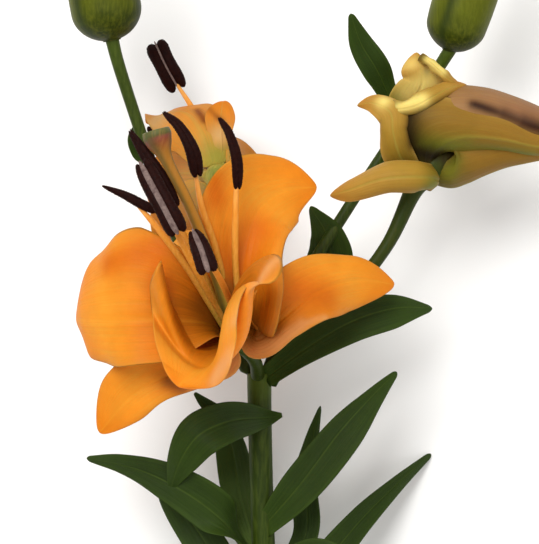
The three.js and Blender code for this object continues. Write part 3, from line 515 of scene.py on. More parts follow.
def bladeSheet(name, blade):
    along, across = blade["along"], blade["across"]
    t = 1 - (1 - np.linspace(0, 1, along + 1)) ** 1.3
    shape = [fullRow(row) for row in blade["rows"]]
    rows = rowsAt(shape, t)
    ahead = headings(shape, t)
    side = rowsAt(blade["side"], t)
    side = unit(side - (side * ahead).sum(1, keepdims=True) * ahead)
    inward = np.cross(side, ahead)
    closeFrom = blade["closeFrom"]
    tip = np.clip((t - closeFrom) / (1 - closeFrom), 0, 1)
    closing = np.sqrt(1 - tip**2)
    u = np.linspace(-1, 1, across + 1)
    reach, sign, isLeft = np.abs(u), np.sign(u), u < 0
    width = np.where(isLeft, rows[:, 3:4], rows[:, 4:5]) * closing[:, None]
    width = np.maximum(width, leastWidth - tipThinning * tip[:, None])
    cup = np.radians(np.where(isLeft, rows[:, 5:6], rows[:, 6:7]))
    turns = rowsAt(blade.get("roll", [(0, 0), (0, 0)]), t)
    roll = np.radians(np.where(isLeft, turns[:, :1], turns[:, 1:2]))
    share = (np.arange(bendSteps) + 0.5) / bendSteps * reach[:, None]
    rollFrom = blade.get("rollFrom", 0.7)

    def bendAt(place):
        late = np.clip((place - rollFrom) / (1 - rollFrom), 0, 1)
        return cup[..., None] * (1 - (1 - place) ** blade["fold"]) + roll[..., None] * late**1.3

    angle = bendAt(share[None])
    out = np.cos(angle).mean(-1) * reach * width
    rise = np.sin(angle).mean(-1) * reach * width
    last = bendAt(reach[None, :, None])[..., 0]
    normal = inward[:, None] * np.cos(last)[..., None] - side[:, None] * (sign * np.sin(last))[..., None]
    waves, high, phase = blade.get("ruffle", (3, 0.5, 0))
    body = np.sin(np.pi * np.clip(t, 0, 1))[:, None] ** 0.6
    ruffle = high * body * reach**3 * np.sin(2 * np.pi * waves * t[:, None] + phase + 1.7 * isLeft)
    swell, turn = blade.get("swell", (0.3, 0))
    face = swell * body * np.sin(5 * t[:, None] + turn + 2.2 * u) * np.cos(2.6 * u + 3 * t[:, None])
    points = rows[:, None, :3] + side[:, None] * (sign * out)[..., None] + inward[:, None] * rise[..., None]
    points = points + normal * (ruffle + face)[..., None]
    columns = across + 1
    first = (np.arange(along)[:, None] * columns + np.arange(across)).ravel()
    faces = np.stack([first, first + 1, first + columns + 1, first + columns], 1)
    sheet = newObject(name, points, faces.tolist())
    addValues(sheet, "across", np.broadcast_to(u, (along + 1, columns)))
    addValues(sheet, "along", np.broadcast_to(t[:, None], (along + 1, columns)))
    for tone, spots in blade.get("tones", {}).items():
        amount = np.zeros(points.shape[:2])
        for *ends, size in spots:
            start, path = np.array(ends[:3]), np.array(ends[-3:]) - np.array(ends[:3])
            share = np.clip((points - start) @ path / max(path @ path, 0.01), 0, 1)
            away = np.linalg.norm(points - start - share[..., None] * path, axis=2) / size
            amount = np.maximum(amount, np.exp(-(away**2)))
        addValues(sheet, tone, amount)
    layer = sheet.data.uv_layers.new(name="blade")
    corners = faces.ravel()
    place = np.stack([(u[corners % columns] + 1) / 2, t[corners // columns]], 1)
    layer.data.foreach_set("uv", place.astype(np.float32).ravel())
    return sheet


def finishPiece(piece, node):
    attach(piece, "root")
    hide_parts(node)


def makeBlade(node, blade, shape, wall, material):
    piece = bladeSheet(pieceName(node), shape | blade)
    applyTree(piece, bladeTree, wall | {"Material": material})
    finishPiece(piece, node)


# Where a tepal or filament starts: a point of the ring round a flower's axis, and its crosswise direction
def ringStart(centre, axis, azimuth, radius):
    up = unit(np.array(axis, float))
    right = np.array((1.0, 0, 0))
    right = unit(right - (right @ up) * up)
    far = np.cross(up, right)
    angle = math.radians(azimuth)
    base = np.array(centre) + radius * (right * math.cos(angle) + far * math.sin(angle))
    return tuple(base), tuple(right * math.sin(angle) - far * math.cos(angle))


tepalRing = 4.4


def makeTepals(tepals, flower, shape, wall, material):
    for node, tepal in tepals.items():
        base, side = ringStart(flower["centre"], flower["axis"], tepal["azimuth"], tepalRing)
        rows = [(*base, 2.2, 20), *tepal["rows"]]
        blade = tepal | {"rows": rows, "side": [side, *tepal["side"]]}
        makeBlade(node, blade, shape, wall, material)


# A stalk's line: path points and radii in mm, grooves as a share of the radius; round ends where asked
def stalkLine(name, stalk):
    rings = stalk.get("rings", 48)
    t = np.linspace(0, 1, rings + 1)
    t = t - stalk.get("gather", 0.0) * np.sin(2 * np.pi * t) / (2 * np.pi)
    centres = rowsAt(stalk["path"], t)
    radii = rowsAt([(r,) for r in stalk["radii"]], t)[:, 0]
    depths = rowsAt([(d,) for d in stalk.get("depths", (0, 0))], t)[:, 0]
    length = np.linalg.norm(np.diff(centres, axis=0), axis=1).sum()
    roundStart, roundEnd = stalk.get("round", (0, 0))
    for amount, away in ((roundStart, t * length), (roundEnd, (1 - t) * length)):
        if amount:
            near = np.clip(1 - away / amount, 0, 1)
            radii = radii * np.sqrt(np.maximum(1 - near**2, stalk.get("neck", 0.02) ** 2))
    edges = [(i, i + 1) for i in range(rings)]
    line = newObject(name, centres, [], edges)
    addValues(line, "radius", radii * 0.001)
    addValues(line, "depth", depths)
    addValues(line, "along", t)
    return line


def makeStalk(name, node, stalk, material):
    piece = stalkLine(name, stalk)
    applyTree(piece, stalkTree, stalk.get("tree", {}) | {"Material": material})
    finishPiece(piece, node)


# Main stem, cut off flat at its lower end
mainStem = {
    "path": [
        (0.5, 0, 0.5), (0.6, -14, 0), (1.5, -50, 0), (3, -90, 0), (5, -150, 0), (5, -220, -2), (0, -300, -4),
    ],
    "radii": [4.6, 4.4, 4.3, 4.4, 4.5, 4.7],
    "depths": [0.05, 0.03, 0.03, 0.04],
    "round": (2.5, 0.3),
    "rings": 160,
    "tree": {"Sides": 40, "Grooves": 5, "Groove sharpness": 2.0},
}
makeStalk("mainStem", "main_stem", mainStem, stemFinish)

pedicels = {
    "pedicel_front": {
        "path": [(0, -1.5, 3), (-1, 4, 14), (-4, 8, 25), (-7.2, 10.7, 32.6), (-8.7, 15.8, 36.2)],
        "radii": [2.6, 2.4, 2.4, 2.7, 4.8]},
    "pedicel_right": {
        "path": [(3.2, -1.5, 0.5), (20, 17, 1), (37, 33, 1), (48.4, 48, 2), (56.6, 65.4, 1.8),
            (60.4, 71.6, 2), (65.5, 77, 1), (75, 83.5, 0)],
        "radii": [2.6, 2.4, 2.4, 2.5, 3.3, 4.8, 6, 4.2]},
    "pedicel_rear": {
        "path": [(-0.6, -1.5, -2.6), (-6, 22, -8), (-11.5, 48, -6), (-13, 66, -2), (-14, 71.4, -2.6),
            (-15.5, 72.5, -7.2)],
        "radii": [2.4, 2.2, 2.2, 2.4, 3, 4.8]},
    "pedicel_bud_left": {
        "path": [(-2.8, -1.5, 1), (-26, 40, -4), (-39.2, 76, -5), (-47.6, 101, -4), (-52, 115, -2),
            (-54, 123, -1)],
        "radii": [2.4, 2.2, 2.2, 2.3, 2.5, 3]},
    "pedicel_bud_right": {
        "path": [(3, -1.5, -3), (16, 32, -9), (33, 60, -12), (50, 86, -14), (64, 108, -12), (71, 119, -9)],
        "radii": [2.4, 2.2, 2.2, 2.2, 2.4, 2.6]},
}
# How far a bud's stalk runs on inside the bud
tuckIn = 4.0
pedicelShape = {"rings": 90, "round": (1.0, 0.1), "depths": [0, 0.04, 0.04, 0.1], "tree": {"Sides": 28}}
for node, pedicel in pedicels.items():
    path = np.array(pedicel["path"])
    if "bud" in node:
        path = np.vstack([path, path[-1] + tuckIn * unit(path[-1] - path[-2])])
    stalk = pedicel | pedicelShape | {"path": path}
    makeStalk(pieceName(node), node, stalk, topFinishes.get(node, pedicelFinish))

buds = {
    "bud_left": {
        "turn": 0.9,
        "path": [(-54, 122.6, -1), (-57.5, 142, 0), (-60, 164, 1), (-61, 186, 1), (-61, 202, 0)],
        "radii": [12.9, 13.1, 13.2, 13, 12.4, 11, 8.6, 5.6, 2.6]},
    "bud_right": {
        "turn": -0.6,
        "path": [(70.9, 119.2, -9), (75.4, 134, -7), (82, 153, -6), (91, 173, -5), (99, 190, -4)],
        "radii": [10, 11, 11.6, 11.8, 11.6, 10.6, 8.6, 5.6, 2.6]},
}
budShape = {
    "depths": [0.02, 0.07, 0.1, 0.12, 0.1, 0.08, 0.05],
    "round": (12.0, 3.0),
    "neck": 0.26,
    "gather": 0.7,
    "rings": 140,
    "tree": {"Sides": 96, "Grooves": 3, "Groove sharpness": 14.0},
}
for node, bud in buds.items():
    tree = budShape["tree"] | {"Turn": bud["turn"]}
    makeStalk(pieceName(node), node, budShape | bud | {"tree": tree}, budFinish)
print("stem, flower stalks and buds built")

# The dark spots and strokes are painted shade in each tepal's throat and in the crease of the lower left
# sepal; the softer dark strokes are painted shade on the upper and left petals and the right sepal.
frontTepals = {
    "front_petal_upper": {
        "azimuth": 60, "rollFrom": 0.74, "ruffle": (2.5, 0.9, 0.6), "swell": (0.5, 1),
        "rows": [(-7, 22, 40, 9, 18, 42, 40), (-6, 31, 42, 14, 20, 42, 45), (-4.5, 45, 42, 20, 15, 42, 45),
            (0, 59, 37, 22, 15, 25, 35), (10, 66.5, 30, 14, 12, 5, 10), (21.5, 68, 24, 6, 0)],
        "side": [(0.9, -0.1, 0.3), (0.72, -0.69, 0), (0.2, -0.97, -0.1)],
        "roll": [(0, -20), (0, -60), (0, -120), (0, -100), (0, -40), (-20, -50), (0, 0)],
        "tones": {"dark": [(-9, 28, 42, -2, 20, 41, 7)],
            "deep": [(-8, 38, 42, 0, 52, 41, 8), (-15, 64, 44, -16, 70, 44, 5)]}},
    "front_petal_left": {
        "azimuth": 180, "closeFrom": 0.86, "ruffle": (3, 1.1, 2.2), "swell": (0.7, 0.4),
        "rows": [(-18, 18, 44, 8, 13, 50, 45), (-29, 19.5, 51, 14, 26, 30, 22),
            (-42, 19.5, 53, 16, 34, 10, -5), (-54, 19.5, 48, 16.5, 31, -12, -12),
            (-62.5, 19.5, 38, 14, 24, -15, -18), (-66, 19.5, 27, 9, 14, -20, -20)],
        "side": [(0, 1, -0.1), (0, 1, 0), (-0.1, 1, 0.1)],
        "roll": [(0, 0), (0, 0), (0, -15), (0, -18), (-15, -20), (0, 0)],
        "tones": {"dark": [(-20, 24, 46, -15, 18, 41, 7)],
            "deep": [(-53, 40, 47, -36, 45, 53, 6), (-36, 42, 53, -35, 30, 53, 4)]}},
    "front_petal_near": {
        "azimuth": -60, "closeFrom": 0.86, "fold": 3.4, "rollFrom": 0.6, "ruffle": (2.5, 0.8, 3),
        "swell": (0.2, 2),
        "rows": [(-11, 9, 47, 11.5, 19.5, 90, 61), (-14.5, 6, 58, 51.8, 44, 82, 87),
            (-18, 3, 65, 46.5, 38, 88, 71), (-21.5, 2, 70, 33.8, 23.5, 88, 42),
            (-25, -0.5, 74.5, 32, 11.5, 66, 19), (-28, -3.5, 77, 14, 7, 30, 14)],
        "side": [(-0.95, -0.2, 0.1), (-1, 0, 0), (-0.97, -0.1, 0)],
        "roll": [(0, 0), (-30, 0), (-80, 0), (-90, 0), (-80, 0), (-30, 0), (0, 0)],
        "tones": {"pale": [(-15, -0.4, 90, -9, 7, 97, 4), (-7, 20, 90, 6, 42, 81, 3)],
            "dark": [(-18, 17, 43, 6)]}},
    "front_sepal_right": {
        "azimuth": 0, "ruffle": (2, 0.9, 1.2), "swell": (0.5, 3),
        "rows": [(0.5, 12.5, 42, 10, 7.5, 40, 20), (9, 20, 43, 15, 9, 40, 20),
            (21, 29.5, 38, 14, 11, 25, 20), (36, 34, 27, 10, 11.5, -20, -20), (50, 32.5, 17, 4, 5.5, -5, 0)],
        "side": [(0.45, -0.75, 0.4), (0.55, -0.8, 0.3), (0.2, -0.95, 0.2), (0.1, -1, 0.05), (-0.1, -1, 0)],
        "roll": [(0, 20), (0, -20), (0, -50), (-10, -50), (-20, -25), (0, 0)],
        "tones": {"dark": [(-1, 14, 39, 4, 15, 44, 5)], "deep": [(15, 30, 40, 25, 28, 38, 8)],
            "pale": [(-3, 7, 42, 7, 11, 46, 3.6), (7, 11, 46, 16, 18, 45, 2.6),
                (16, 18, 45, 24, 20, 42, 1.5)]}},
    "front_sepal_lower_left": {
        "azimuth": -120, "ruffle": (2, 0.8, 0.3), "swell": (0.6, 5),
        "rows": [(-13.5, 7.5, 38, 9.5, 8, 5, 30), (-23, 3, 40, 8.5, 11, 20, 30),
            (-36, -2, 40, 8, 12.5, 20, 20), (-47, -9, 37, 9, 12, 10, 10), (-57.5, -21.5, 29, 5, 6, 0, 0)],
        "side": [(-0.7, 0.7, 0)] * 2,
        "roll": [(0, 0), (-20, -10), (-30, -20), (-30, -30), (-30, -30), (0, 0)],
        "tones": {"pale": [(-8, 4, 41, -20, -3, 42, 5)], "dark": [(-32, -2.4, 40, -27, -5, 41, 3.4)]}},
    "front_sepal_far": {
        "azimuth": 120,
        "rows": [(-13, 26, 28, 8, 40), (-19, 35, 20, 12, 20), (-28, 40, 7, 14, 0), (-37, 39, -7, 12, -10),
            (-43, 33, -19, 5, -10)],
        "side": [(0.6, 0.6, 0.4), (0.5, 0.7, 0.4)],
        "roll": [(0, 0), (-20, -20), (-30, -30), (-30, -30), (0, 0)]},
}
frontFlower = {"centre": (-8.6, 15.6, 36), "axis": (-0.24, 0.81, 0.54), "slot": "open_tepal"}
tepalShape = {"along": 84, "across": 56, "fold": 1.6, "closeFrom": 0.8}
tepalWall = {
    "Wall": 0.0011, "Edge share": 0.3, "Rib width": 0.1, "Rib height": 0.0003,
    "Groove depth": 0.00045, "Veins": 6, "Vein height": 0.00009,
}
makeTepals(frontTepals, frontFlower, tepalShape, tepalWall, petalFinish)
print("open flower's tepals built")

# The dark strokes are painted shade in the creases of the near petal and sepal.
rearTepals = {
    "rear_petal_near": {
        "azimuth": -110,
        "rows": [(-18, 81, -9, 9, 40), (-22, 90.5, -13, 12, 14, 30, 30), (-27, 96, -21, 10, 15, 10, 10),
            (-35, 96.4, -30, 5.6, 11, -10, -10), (-42, 93, -35, 2.6, 4, -10, -10)],
        "side": [(-0.86, -0.4, 0), (-0.9, -0.2, 0.3)],
        "tones": {"pale": [(-39, 92, -20, -36, 94, -28, 5)], "green": [(-15, 80, -8, 7)],
            "dark": [(-23, 98, -21, -20, 93, -15, 1.6)]}},
    "rear_sepal_near": {
        "azimuth": -55, "closeFrom": 0.62,
        "rows": [(-13.4, 80, -10, 3.8, 4.5, 30, 30), (-13.8, 86.5, -11, 3.6, 4.8, 20, 20),
            (-13.8, 91.8, -12.6, 4.8, 5.8, 0, 0), (-13.6, 96.6, -15.4, 5.6, 6.6, -20, -10),
            (-13, 101, -19, 5, 5.6, -30, -20)],
        "side": [(-0.95, 0, 0.1), (-0.9, 0, -0.3)],
        "tones": {"dark": [(-19, 99.4, -16, -13.6, 93, -13, 1.3)], "green": [(-14, 80, -9, 7)],
            "pale": [(-14, 88, -11, 4)]}},
    "rear_petal_right": {
        "azimuth": 10,
        "rows": [(-9, 77, -15, 8, 40), (-7.6, 79, -25, 10, 9, 20, 20), (-6.6, 75, -37, 12, 11, 0, 0),
            (-4.4, 66, -47, 9, 11, -10, -10), (-2, 55, -53, 4, -10)],
        "side": [(0.1, 1, 0.3), (0.5, 0.8, 0.5)]},
    "rear_sepal_right": {
        "azimuth": 60,
        "rows": [(-10, 66, -15, 6, 40), (-7, 59, -27, 8, 20), (-6, 52, -39, 9, 0), (-5, 44, -49, 8, -10),
            (-4, 36, -56, 3, -10)],
        "side": [(0.7, 0.7, -0.2), (0.7, 0.6, -0.2)]},
    "rear_petal_lower": {
        "azimuth": 125,
        "rows": [(-20, 66, -15, 8, 40), (-24, 61, -27, 12, 20), (-27, 57, -40, 14, 0),
            (-29, 50, -52, 11, -10), (-29, 40, -58, 4, -10)],
        "side": [(0.8, -0.4, -0.3), (0.95, 0, -0.1)]},
    "rear_sepal_left": {
        "azimuth": 180,
        "rows": [(-22, 73, -16, 6, 40), (-28, 74, -28, 9, 20), (-34, 73, -40, 11, 0),
            (-39, 68, -50, 9, -10), (-41, 60, -57, 3, -10)],
        "side": [(0, -1, 0), (0.3, -0.9, 0.2)]},
}
rearFlower = {"centre": (-15.4, 72.4, -7), "axis": (-0.3, 0.2, -0.93), "slot": "rear_tepal"}
smallTepalShape = tepalShape | {"along": 64, "across": 40}
makeTepals(rearTepals, rearFlower, smallTepalShape, tepalWall, rearShadedFinish)
print("rear flower's tepals built")


# Half-open flower: three petals still closed round each other. A place is x, y, z and radius of the flower
# there, then the petal's left and right half widths as shares of it.
# The dark tones are painted shade: the flower's shadowed inside at its open end, and the slit between the
# upper and front petals.
closedPetals = {
    "right_petal_front": {
        "azimuth": -32, "cup": (84, 72),
        "places": [(60.5, 75, 1, 4.4, 1.6, 1.4), (59.5, 81, 2, 8.5, 1.8, 1.9),
            (63, 88.2, 3.5, 11.8, 1.8, 1.85), (71, 92.6, 4.5, 12.4, 1.55, 1.35),
            (81, 93, 5.5, 11.6, 1.4, 0.98), (92, 91, 6.5, 10.2, 1.3, 0.82), (104, 87.6, 7, 8.6, 1.2, 0.56),
            (117, 86, 7, 5, 1.1, 0.7), (126, 86, 7, 2.2, 1, 1)],
        "roll": [(0, 20), (0, 20), (0, -10), (0, -30), (0, -30), (0, -10)],
        "tones": {"dark": [(55.5, 95, 13, 56, 84, 12, 6.5), (57, 82, 11, 65, 80, 8, 6.5)],
            "green": [(60, 84, 12, 76, 82, 14, 5), (76, 81, 12, 100, 80.5, 10, 4)]}},
    "right_petal_back_upper": {
        "azimuth": 82, "rollFrom": 0.5, "finish": "mauve", "cup": (78, 66),
        "places": [(60.5, 75, 0, 4.2, 1.2, 1.2), (59, 81.5, 0, 8.5, 1.4, 1.2),
            (62.5, 88.6, 2, 11.6, 1.5, 1.2), (71, 93, 3.6, 12, 1.6, 1.2), (81, 93.2, 5, 11.5, 1.6, 1.2),
            (92, 91.2, 6, 10.2, 1.7, 1.2), (104, 88, 7, 8.6, 1.8, 1.2), (117, 86, 7, 4.8, 1.7, 1.1),
            (126, 86, 7, 2, 1.3, 1)],
        "roll": [(0, 0), (30, 10), (70, 20), (70, 20), (50, 10)],
        "tones": {
            "dark": [(79, 98.6, 16.2, 90, 94.9, 17.1, 2), (90, 94.9, 17.1, 97, 91.8, 17.4, 2.6),
                (97, 91.8, 17.4, 110, 87, 16.6, 3.4)]}},
    "right_petal_back_lower": {
        "azimuth": 278, "cup": (80, 102),
        "places": [(61, 74, 0, 3.4, 1.3, 1.6), (66.5, 77, -2, 9.6, 1.5, 2.2),
            (73, 80.5, -3, 11.2, 1.5, 2.1), (81, 83.4, -2, 10.6, 1.4, 1.8), (90, 85.6, 0, 9.6, 1.3, 1.7),
            (99, 86.6, 3, 8.8, 1.3, 1.5), (108, 86.8, 6, 7.4, 1.2, 1.3), (117, 86.2, 7, 4.6, 1.1, 1.1),
            (126, 86, 7, 2, 1, 1)],
        "tones": {"dark": [(62, 78, 8, 69, 80, 10, 4)], "green": [(69, 70, 8, 71, 78, 10, 4)]}},
}
for node, petal in closedPetals.items():
    angle = math.radians(petal["azimuth"])
    places = np.array(petal["places"])
    t = np.linspace(0, 1, len(places))
    ahead = headings(places, t, 0.06)
    outer = unit(np.stack([-ahead[:, 1], ahead[:, 0], np.zeros(len(t))], 1))
    front = np.array((0, 0, 1.0))
    away = math.cos(angle) * front + math.sin(angle) * outer
    middle = places[:, :3] + places[:, 3:4] * away
    halves = places[:, 3:4] * places[:, 4:6]
    rows = [(*m, *h, *petal["cup"]) for m, h in zip(middle, halves)]
    side = math.cos(angle) * outer - math.sin(angle) * front
    blade = petal | {"rows": rows, "side": side, "fold": 1.0, "closeFrom": 0.9}
    finish = mauveFinish if petal.get("finish") == "mauve" else paleFinish
    makeBlade(node, blade, tepalShape, tepalWall, finish)

# The dark tones are painted shade in the sepals' creases and notch.
rightSepals = {
    "right_sepal_lower": {
        "ruffle": (2, 0.5, 0.5),
        "rows": [(61, 70, 6, 2.5, 3, 20, 20), (66, 70.4, 15, 5, 7.5, -60, -50),
            (60, 71.6, 24, 8.5, 9, -75, -70), (46, 71, 25, 8, 8.5, -75, -70),
            (33.5, 67, 18, 5, 5, -50, -40), (26.5, 65, 12, 2, -20)],
        "side": [(0.1, 0.95, 0), (0, 1, 0)], "tones": {"green": [(64, 68, 20, 5)]}},
    "right_sepal_middle": {
        "ruffle": (2, 0.6, 2.5),
        "rows": [(59, 72.6, 5, 2.4, 20), (52.5, 79, 14, 6.5, 6, -30, -30), (49.5, 88, 17, 6, 6.5, -60, -60),
            (48.5, 95.4, 16, 6.5, 7, -50, -40), (42.6, 98.8, 12, 3.6, 4.4, -30, -20),
            (36.6, 98.4, 6, 1.4, 1.6, 0, 0)],
        "side": [(0.9, 0.4, 0), (0.9, 0.3, 0), (0.3, 0.9, 0.1)],
        "tones": {"dark": [(56, 84, 12, 56, 92, 13, 2.6)], "pale": [(46, 100, 14, 3)]}},
    "right_sepal_upper": {
        "ruffle": (2, 0.6, 1.5),
        "rows": [(59, 77, -4, 2.6, 20), (57, 90, -5, 9, 20), (57.6, 99.5, 2, 10, 10.5, 10, 0),
            (60.6, 106.5, 6, 7.6, 9, 0, -20), (60, 112, 8, 7.4, 5.6, -20, -60),
            (58.4, 118, 5, 6, 4, -50, -70)],
        "side": [(1, 0, 0.1), (1, -0.1, 0), (0.92, -0.3, 0)],
        "tones": {"pale": [(56, 102, 6, 62, 106, 7, 5), (56, 115, 10, 4)],
            "green": [(48, 99, 3, 52, 102, 4, 3)],
            "dark": [(56, 92, 0, 4), (61.8, 113, 9, 62.4, 109, 8, 1.2)]}},
    "right_sepal_fold": {
        "ruffle": (2, 0.4, 0.5),
        "rows": [(47.4, 97.6, 13, 3, -40), (52, 96.6, 16, 4.6, 4.2, -70, -80),
            (58, 97.8, 18, 5.8, 4.4, -70, -80), (65, 101.6, 16.6, 5.4, 4, -60, -80),
            (71, 104.6, 11.6, 4, 3.2, -50, -60), (77, 106, 5, 1.6, -20)],
        "side": [(0.25, -0.95, 0.1), (0.2, -0.98, 0), (0.45, -0.9, 0.1), (0.3, -0.95, 0.2)],
        "tones": {"pale": [(52, 98, 17, 60, 100, 18, 3)], "dark": [(60, 95, 17, 70, 100, 15, 2)]}},
    "right_sepal_edge": {
        "rows": [(59.4, 116.4, 9, 1.8, -30), (62.6, 114.4, 12, 2.4, 2.2, -70, -70),
            (66.6, 111, 12, 2.6, 2.2, -70, -70), (70.4, 107.8, 10, 2.2, 2, -60, -60),
            (74.6, 105, 6.6, 1.2, -20)],
        "side": [(-0.5, -0.85, 0.1), (-0.6, -0.8, 0)], "tones": {"pale": [(63, 115, 12, 68, 111, 12, 2)]}},
}
for node, sepal in rightSepals.items():
    makeBlade(node, sepal, smallTepalShape, tepalWall, paleFinish)
print("half-open flower built")

# Leaves round the upper stem
leaves = {
    "leaf_right": {
        "rows": [(2.6, -2.5, 3.6, 4, 30), (18, 9, 7, 6, 15), (34, 18.5, 9, 8, 8),
            (50, 23.5, 6, 5.5, 7.5, 5, 5), (64.5, 23.5, 0, 1, 0)],
        "side": [(0.4, -0.9, 0.2)] * 2},
    "leaf_front_curl": {
        "rows": [(8.9, -15.8, 3, 0.8, 0), (3, -16.8, 3.6, 3.6, 3.4, 10, 10),
            (-5, -17, 10.5, 6.6, 6.2, 20, 15), (-13, -18.4, 17.5, 8.2, 7.6, 10, 8),
            (-22, -23, 20.5, 8.6, 8, 5, 0), (-28.6, -32.5, 16, 6.5, 5, 0, 0), (-32.2, -43.3, 7, 1, 0)],
        "side": [(0, 1, 0), (-0.25, 0.95, 0), (-0.75, 0.6, 0), (-0.95, 0.3, 0)]},
    "leaf_left_long": {
        "rows": [(-2, -69, 2.6, 4, 30), (-16, -52, 8, 8, 9, 15, 15), (-34, -40, 8, 7, 8, 8, 8),
            (-50, -34, 4, 4, 0), (-63.5, -32, -2, 1, 0)],
        "side": [(-0.6, 0.8, 0.1), (-0.4, 0.9, 0.1)]},
    "leaf_right_long": {
        "rows": [(1.2, -58, 2.2, 3.4, 4.4, 30, 30), (15, -42, 7, 6.8, 8, 15, 15),
            (30, -22, 8, 5.4, 9, 8, 8), (42, -9, 4, 3, 4.8, 0, 0), (51.4, 0, -2, 1, 0)],
        "side": [(0.7, -0.7, 0.1)] * 2},
    "leaf_right_back": {
        "rows": [(3.5, -84, -3.6, 4, 30), (17.2, -62, -8, 4.7, 4.8, 15, 15), (18, -44, -10, 6, 4.4, 8, 8),
            (20.2, -27, -10, 3.4, 2.4, 0, 0), (23.2, -12.8, -9, 0.5, 0)],
        "side": [(0.95, -0.2, 0.1)] * 2},
    "leaf_low_right": {
        "rows": [(6.6, -93, -1, 4, 30), (24, -72, -6, 6, 15), (38, -56, -16, 5, 8), (52, -43, -28, 3, 3),
            (65.5, -32, -42, 1, 0)],
        "side": [(0.6, -0.8, 0.1)] * 2},
    "leaf_bottom_front": {
        "rows": [(5, -81, 3.6, 4, 30), (13, -71, 14, 7, 15), (24, -67.5, 22, 7, 8), (35, -77, 22, 6, 0),
            (43, -95, 14, 1, 0)],
        "side": [(0.3, -0.9, 0.1), (-0.6, -0.8, 0)]},
    "leaf_left_low": {
        "rows": [(-0.6, -89, -2, 4, 30), (-13.6, -72, -6, 7.5, 7, 15, 15), (-24.8, -56, -12, 7.5, 7, 8, 8),
            (-32.8, -46.3, -17, 5, 0), (-37, -39, -22, 1, 0)],
        "side": [(0.7, 0.6, 0.1), (0.76, 0.65, 0.1)]},
    "leaf_left_back": {
        "rows": [(-0.6, -66, -3, 4, 30), (-6.6, -46, -9, 6.3, 6.5, 15, 15),
            (-9.2, -32, -12, 6.3, 6.5, 8, 8), (-12, -21, -14, 4, 0), (-14.5, -14, -16, 1, 0)],
        "side": [(-0.9, 0.3, 0.1)] * 2},
    "leaf_behind_right": {
        "rows": [(4, -5, -4, 3, 30), (14, 18, -15, 6, 15), (26, 38, -16, 9, 8), (26, 50, -12, 7, 0),
            (19.6, 61.5, -8, 1, 0)],
        "side": [(0.9, -0.3, 0.1), (0.8, 0.2, 0.3)]},
    "leaf_top": {
        "rows": [(53.5, 91, -14, 1.6, 30), (47.5, 105, -9, 4, 15), (43.5, 113, -5, 5.5, 8),
            (38, 122, -2, 4.4, 0), (34.2, 132.5, 2, 1, 0)],
        "side": [(0.8, 0.5, 0.1)] * 2},
    "leaf_left_small": {
        "rows": [(-2.6, -21, 1, 2.4, 30), (-9.5, -18, 3.4, 3.2, 15), (-15.5, -14.6, 5, 3, 8),
            (-20, -11, 6.2, 2, 0), (-23.4, -7.5, 7, 0.6, 0)],
        "side": [(-0.1, 1, 0.1)] * 2},
    "bract": {
        "rows": [(-44.2, 92.4, -6.4, 1.2, 20), (-45.4, 88.6, -8.6, 2.6, 20), (-45.6, 84.6, -10, 3, 20),
            (-44.4, 80.6, -11, 2.3, 20), (-42.6, 77.4, -11.6, 0.7, 0)],
        "side": [(-0.95, 0.2, 0.1), (-0.95, -0.1, 0.1)]},
}
leafShape = {"along": 60, "across": 32, "fold": 1.2, "closeFrom": 0.97, "ruffle": (2, 0.4, 0.5)}
leafWall = {
    "Wall": 0.001, "Edge share": 0.4, "Rib width": 0.1, "Rib height": 0.0005,
    "Groove depth": 0.0004, "Veins": 4, "Vein height": 0.00012,
}
for node, leaf in leaves.items():
    makeBlade(node, leaf, leafShape, leafWall, leafFinish)

# Leaves of the lower stem, each arching away from it; a place is y, azimuth and length
lowerLeaves = {
    "places": [
        (-114, 190, 88), (-130, 345, 92), (-147, 95, 90), (-163, 198, 96), (-181, 352, 94), (-198, 130, 88),
    ],
    "arch": [(0, 0, 0.45), (0.2, 0.16, 0.9), (0.46, 0.3, 1), (0.7, 0.34, 0.72), (0.9, 0.28, 0.06)],
    "halfWidth": 8.5,
    "stemRadius": 4.4,
}
for number, (low, azimuth, length) in enumerate(lowerLeaves["places"], 1):
    x, y, z = rowsAt(mainStem["path"], np.array([-low / 300]))[0]
    angle = math.radians(azimuth)
    east, south = math.cos(angle), math.sin(angle)
    rows = []
    for reach, rise, share in lowerLeaves["arch"]:
        out = 0.8 * lowerLeaves["stemRadius"] + reach * length
        width = lowerLeaves["halfWidth"] * share
        rows.append((x + east * out, low + rise * length, z + south * out, width, 18))
    side = [(-south, 0, east), (-0.6 * south, -0.8 * east, 0.6 * east)]
    blade = {"rows": rows, "side": side, "ruffle": (2.5, 0.6, number)}
    makeBlade(f"lower_leaf_{number}", blade, leafShape, leafWall, leafFinish)
print("leaves built")


antherShape = {"rings": 40, "sides": 20, "gather": 0.85, "seamLift": 0.3}


